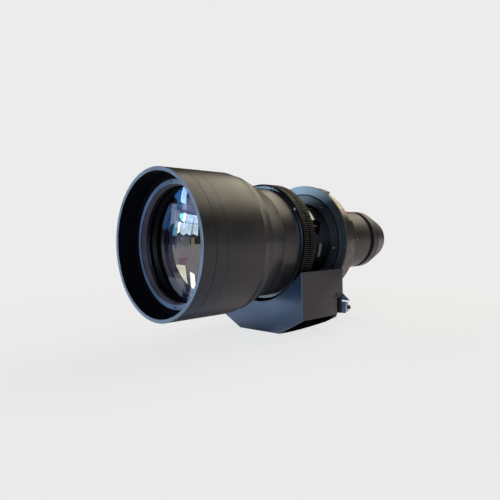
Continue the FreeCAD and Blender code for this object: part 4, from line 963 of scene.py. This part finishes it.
# %% Floor
FLOOR_RADIUS = 12.0
FLOOR_GAP = 0.0005
SHADOW_SHARE = 0.22
SHADOW_LIFT = 1.13
FLOOR_TINTS = [(0.0, (0.20, 0.19, 0.21)), (0.15, (0.03, 0.05, 0.08)), (0.30, (0.12, 0.26, 0.48)),
               (0.52, (0.56, 0.51, 0.53)), (1.0, (0.74, 0.68, 0.67))]
SIDE_LEVELS = [(0.0, 2.4), (0.30, 2.0), (0.60, 0.5), (0.90, 0.1), (0.98, 1.0)]


def make_floor():
    """A pale floor that melts into the surroundings away from the object."""
    net = Net("studio_floor")

    def reach(value, start, end, low=0.0, high=1.0):
        """A number that goes from low to high between two places in metres."""
        node = net.add("ShaderNodeMapRange", {"Value": value, "From Min": start, "From Max": end,
                                              "To Min": low, "To Max": high})
        return node.outputs[0]

    distance = net.add("ShaderNodeVectorMath", {0: net.place}, operation="LENGTH").outputs["Value"]
    speckle = net.noise(500.0, 2.0)
    matte = net.add("ShaderNodeBsdfDiffuse", {
        "Color": net.ramp(speckle, [(0.3, (0.88, 0.89, 0.90)), (0.7, (0.92, 0.93, 0.94))])})
    glow = net.add("ShaderNodeEmission", {"Color": (*PALE, 1.0),
                                          "Strength": reach(distance, 0.20, 0.75, SHADOW_LIFT, 1.0)})
    seen_floor = net.add("ShaderNodeMixShader", {0: reach(distance, 0.20, 0.75, SHADOW_SHARE, 0.0),
                                                 1: glow.outputs[0], 2: matte.outputs[0]})
    spot = net.add("ShaderNodeSeparateXYZ", {0: net.place}).outputs
    level = net.add("ShaderNodeMix", data_type="RGBA", blend_type="MULTIPLY")
    net.feed(level.inputs["Factor"], reach(spot["Y"], -0.05, -0.09))
    net.feed(level.inputs[6], net.ramp(reach(spot["Y"], -0.40, 0.10), FLOOR_TINTS))
    net.feed(level.inputs[7], net.ramp(reach(spot["X"], -0.15, 0.02),
                                       [(place, (grey, grey, grey)) for place, grey in SIDE_LEVELS]))
    # painted bounce light: the floor glows with these tints to every ray but the camera's
    bounce = net.add("ShaderNodeEmission", {"Color": level.outputs[2], "Strength": 1.0})
    camera_ray = net.add("ShaderNodeLightPath").outputs["Is Camera Ray"]
    both = net.add("ShaderNodeMixShader", {0: camera_ray, 1: bounce.outputs[0], 2: seen_floor.outputs[0]})
    net.feed(net.output.inputs["Surface"], both.outputs[0])
    bpy.ops.mesh.primitive_circle_add(vertices=96, radius=FLOOR_RADIUS, fill_type="NGON",
                                      location=(0, 0, cad_box[0].z - FLOOR_GAP))
    floor = bpy.context.object
    floor.name = "studio_floor"
    floor.data.materials.append(net.material)
    return floor


print("floor at", round(make_floor().location.z, 4))

# %% [markdown]
# ## Lamps
# Real light comes from a few soft lamps: a large warm one above and behind for the long highlight on
# the barrels, a smaller one low behind for the rear barrel, a weak warm wall on the right for the side
# faces, and a cool one in front, which the rims mirror. The lamps are kept low, so that colours come
# out as written.

# %% Lamps
AIM = Vector((0.0, -0.06, 0.0))


def lamp(name, direction, distance, width, height, watts, colour):
    """A soft lamp that looks at the lens from a direction."""
    data = bpy.data.lights.new(name, "AREA")
    data.shape = "RECTANGLE"
    data.size = width
    data.size_y = height
    data.energy = watts
    data.color = colour
    thing = bpy.data.objects.new(name, data)
    way = Vector(direction).normalized()
    thing.location = AIM + way * distance
    thing.rotation_mode = "QUATERNION"
    thing.rotation_quaternion = way.to_track_quat("Z", "Y")
    thing.visible_camera = False
    scene.collection.objects.link(thing)


lamp("top_softbox", (-0.02, 0.66, 0.70), 2.3, 2.2, 1.1, 24.0, (1.0, 0.90, 0.70))
lamp("rear_softbox", (0.0, 0.93, 0.38), 2.3, 1.4, 0.8, 4.2, (1.0, 0.90, 0.70))
lamp("side_wall", (0.80, 0.62, 0.05), 2.4, 1.8, 1.4, 1.8, (1.0, 0.90, 0.90))
lamp("front_fill", (0.45, -0.87, 0.18), 2.4, 0.9, 0.9, 34.0, (0.62, 0.80, 1.0))

# %% [markdown]
# ## The window wall
# Glass shows what stands in front of it. Here that is a wall with a row of windows: a bright strip
# and paler upper panes, a long lower row over a dark ragged line of trees, a haze with posts in it,
# and three patches of sunlit floor. The wall is made from plain panes far in front of the lens. Each
# corner is written as the turn and the rise at which it is seen from the glass, and the camera
# doesn't see the panes.

# %% Window glow and panes


def pane_glow(name, colour, strength, streak=0.25):
    """The glow of a pane, with slow streaks in it."""
    net = Net(name)
    clouds = net.noise(3.0, 4.0, net.mapped((1.0, 1.0, 2.5)))
    level = net.span(clouds, strength * (1 - streak), strength * (1 + streak))
    glow = net.add("ShaderNodeEmission", {"Color": (*colour, 1.0), "Strength": level})
    net.feed(net.output.inputs["Surface"], glow.outputs[0])
    return net.material


WALL_TURN = math.radians(50.0)
WALL_FAR = 2.5
wall_way = Vector((-math.sin(WALL_TURN), -math.cos(WALL_TURN), 0))
wall_side = Vector((-math.cos(WALL_TURN), math.sin(WALL_TURN), 0))
WALL_CENTRE = Vector((0, -0.21, 0)) + wall_way * WALL_FAR


def card(name, corners, glow):
    """A glowing card from its corners, which the camera doesn't see."""
    mesh = bpy.data.meshes.new(name)
    mesh.from_pydata(corners, [], [list(range(len(corners)))])
    mesh.materials.append(glow)
    piece = bpy.data.objects.new(name, mesh)
    piece.visible_camera = False
    piece.visible_shadow = False
    scene.collection.objects.link(piece)
    return piece


def pane(name, outline, glow):
    """A pane on the wall from (turn, rise) corners: degrees from -Y toward -X, and height by distance."""
    corners = []
    for turn_degrees, rise in outline:
        across = WALL_FAR * math.tan(math.radians(turn_degrees) - WALL_TURN)
        height = rise * math.hypot(across, WALL_FAR)
        corners.append(tuple(WALL_CENTRE + wall_side * across + Vector((0, 0, height))))
    card(name, corners, glow)


def floor_pane(name, outline, glow):
    """A lit patch on the floor from (x, y) corners in millimetres; it lights nothing else."""
    height = cad_box[0].z + 0.001
    card(name, [(x / 1000, y / 1000, height) for x, y in outline], glow).visible_diffuse = False


print("wall at", [round(v, 2) for v in WALL_CENTRE])

# %% Windows, posts and sunlit floor
sun_pane = pane_glow("sun_pane", (0.62, 0.88, 1.0), 26.0, 0.1)
bright_pane = pane_glow("bright_pane", (0.12, 0.60, 1.0), 5.0)
blue_pane = pane_glow("blue_pane", (0.22, 0.60, 1.0), 1.7)
pale_pane = pane_glow("pale_pane", (0.52, 0.70, 1.0), 3.2)
violet_pane = pane_glow("violet_pane", (0.85, 0.74, 1.0), 0.22, 0.5)
navy_post = pane_glow("navy_post", (0.14, 0.22, 0.70), 0.35)
teal_post = pane_glow("teal_post", (0.40, 0.72, 0.80), 0.42)
lilac_post = pane_glow("lilac_post", (0.70, 0.66, 1.0), 0.45)
green_post = pane_glow("green_post", (0.80, 0.90, 0.42), 0.55)
pink_patch = pane_glow("pink_patch", (0.95, 0.55, 0.75), 0.45)
cream_patch = pane_glow("cream_patch", (0.97, 1.0, 0.90), 2.5)
white_pane = pane_glow("white_pane", (0.90, 0.95, 1.0), 5.0)
haze_pane = pane_glow("haze_pane", (0.76, 0.86, 1.0), 0.38, 0.8)
white_patch = pane_glow("white_patch", (0.94, 1.0, 1.0), 4.6)

trees = [(36 + 2.0 * k, 0.070 + 0.030 * ((k * 37) % 7) / 7) for k in range(10)]
POSTS = [(60.5, 58.8, navy_post), (57.6, 57.0, lilac_post), (55.9, 53.6, navy_post),
         (52.9, 52.4, lilac_post), (51.4, 47.0, teal_post), (46.2, 45.6, lilac_post),
         (44.6, 43.8, green_post), (42.2, 39.4, green_post)]
WALL = [
    ("strip_right", [(53.2, 0.20), (50.4, 0.19), (50.4, 0.27), (53.2, 0.27)], sun_pane),
    ("strip_left", [(57.4, 0.225), (53.7, 0.195), (53.7, 0.27), (57.4, 0.26)], bright_pane),
    ("upper_right", [(49.6, 0.19), (37.0, 0.19), (37.0, 0.27), (49.6, 0.27)], pale_pane),
    ("middle_row", trees + [(54.4, 0.184), (36, 0.184)], pale_pane),
    ("left_row", [(64, 0.065), (57.8, 0.065), (57.8, 0.187), (64, 0.19)], blue_pane),
    ("white_row", [(57.6, 0.085), (54.7, 0.10), (54.7, 0.187), (57.6, 0.187)], white_pane),
    ("ceiling", [(66, 0.29), (38, 0.29), (38, 0.46), (66, 0.46)], violet_pane)]
for number, (left, right, glow) in enumerate(POSTS):
    foot = -0.05 + 0.03 * (number % 3)
    WALL.append(("post_" + str(number), [(left, foot), (right, foot), (right, 0.060), (left, 0.052)], glow))
WALL += [
    ("haze", [(58.0, -0.03), (45.0, -0.03), (45.0, 0.06), (58.0, 0.06)], haze_pane),
    ("green_edge", [(42.6, 0.08), (41.2, 0.08), (40.6, 0.25), (42.0, 0.25)], green_post)]
FLOOR_PATCHES = [
    ("far_patch", [(-650, -627), (-499, -691), (-350, -488), (-412, -460)], pink_patch),
    ("left_patch", [(-482, -421), (-412, -460), (-330, -478), (-215, -375), (-131, -300), (-62, -240),
                    (-80, -228), (-170, -282), (-300, -335)], cream_patch),
    ("right_patch", [(-211, -407), (-160, -390), (-97, -311), (-71, -271), (-78, -264), (-118, -305)],
     white_patch)]
for name, outline, glow in WALL:
    pane(name, outline, glow)
for name, outline, glow in FLOOR_PATCHES:
    floor_pane(name, outline, glow)
print("panes:", len(WALL), "and patches:", len(FLOOR_PATCHES))
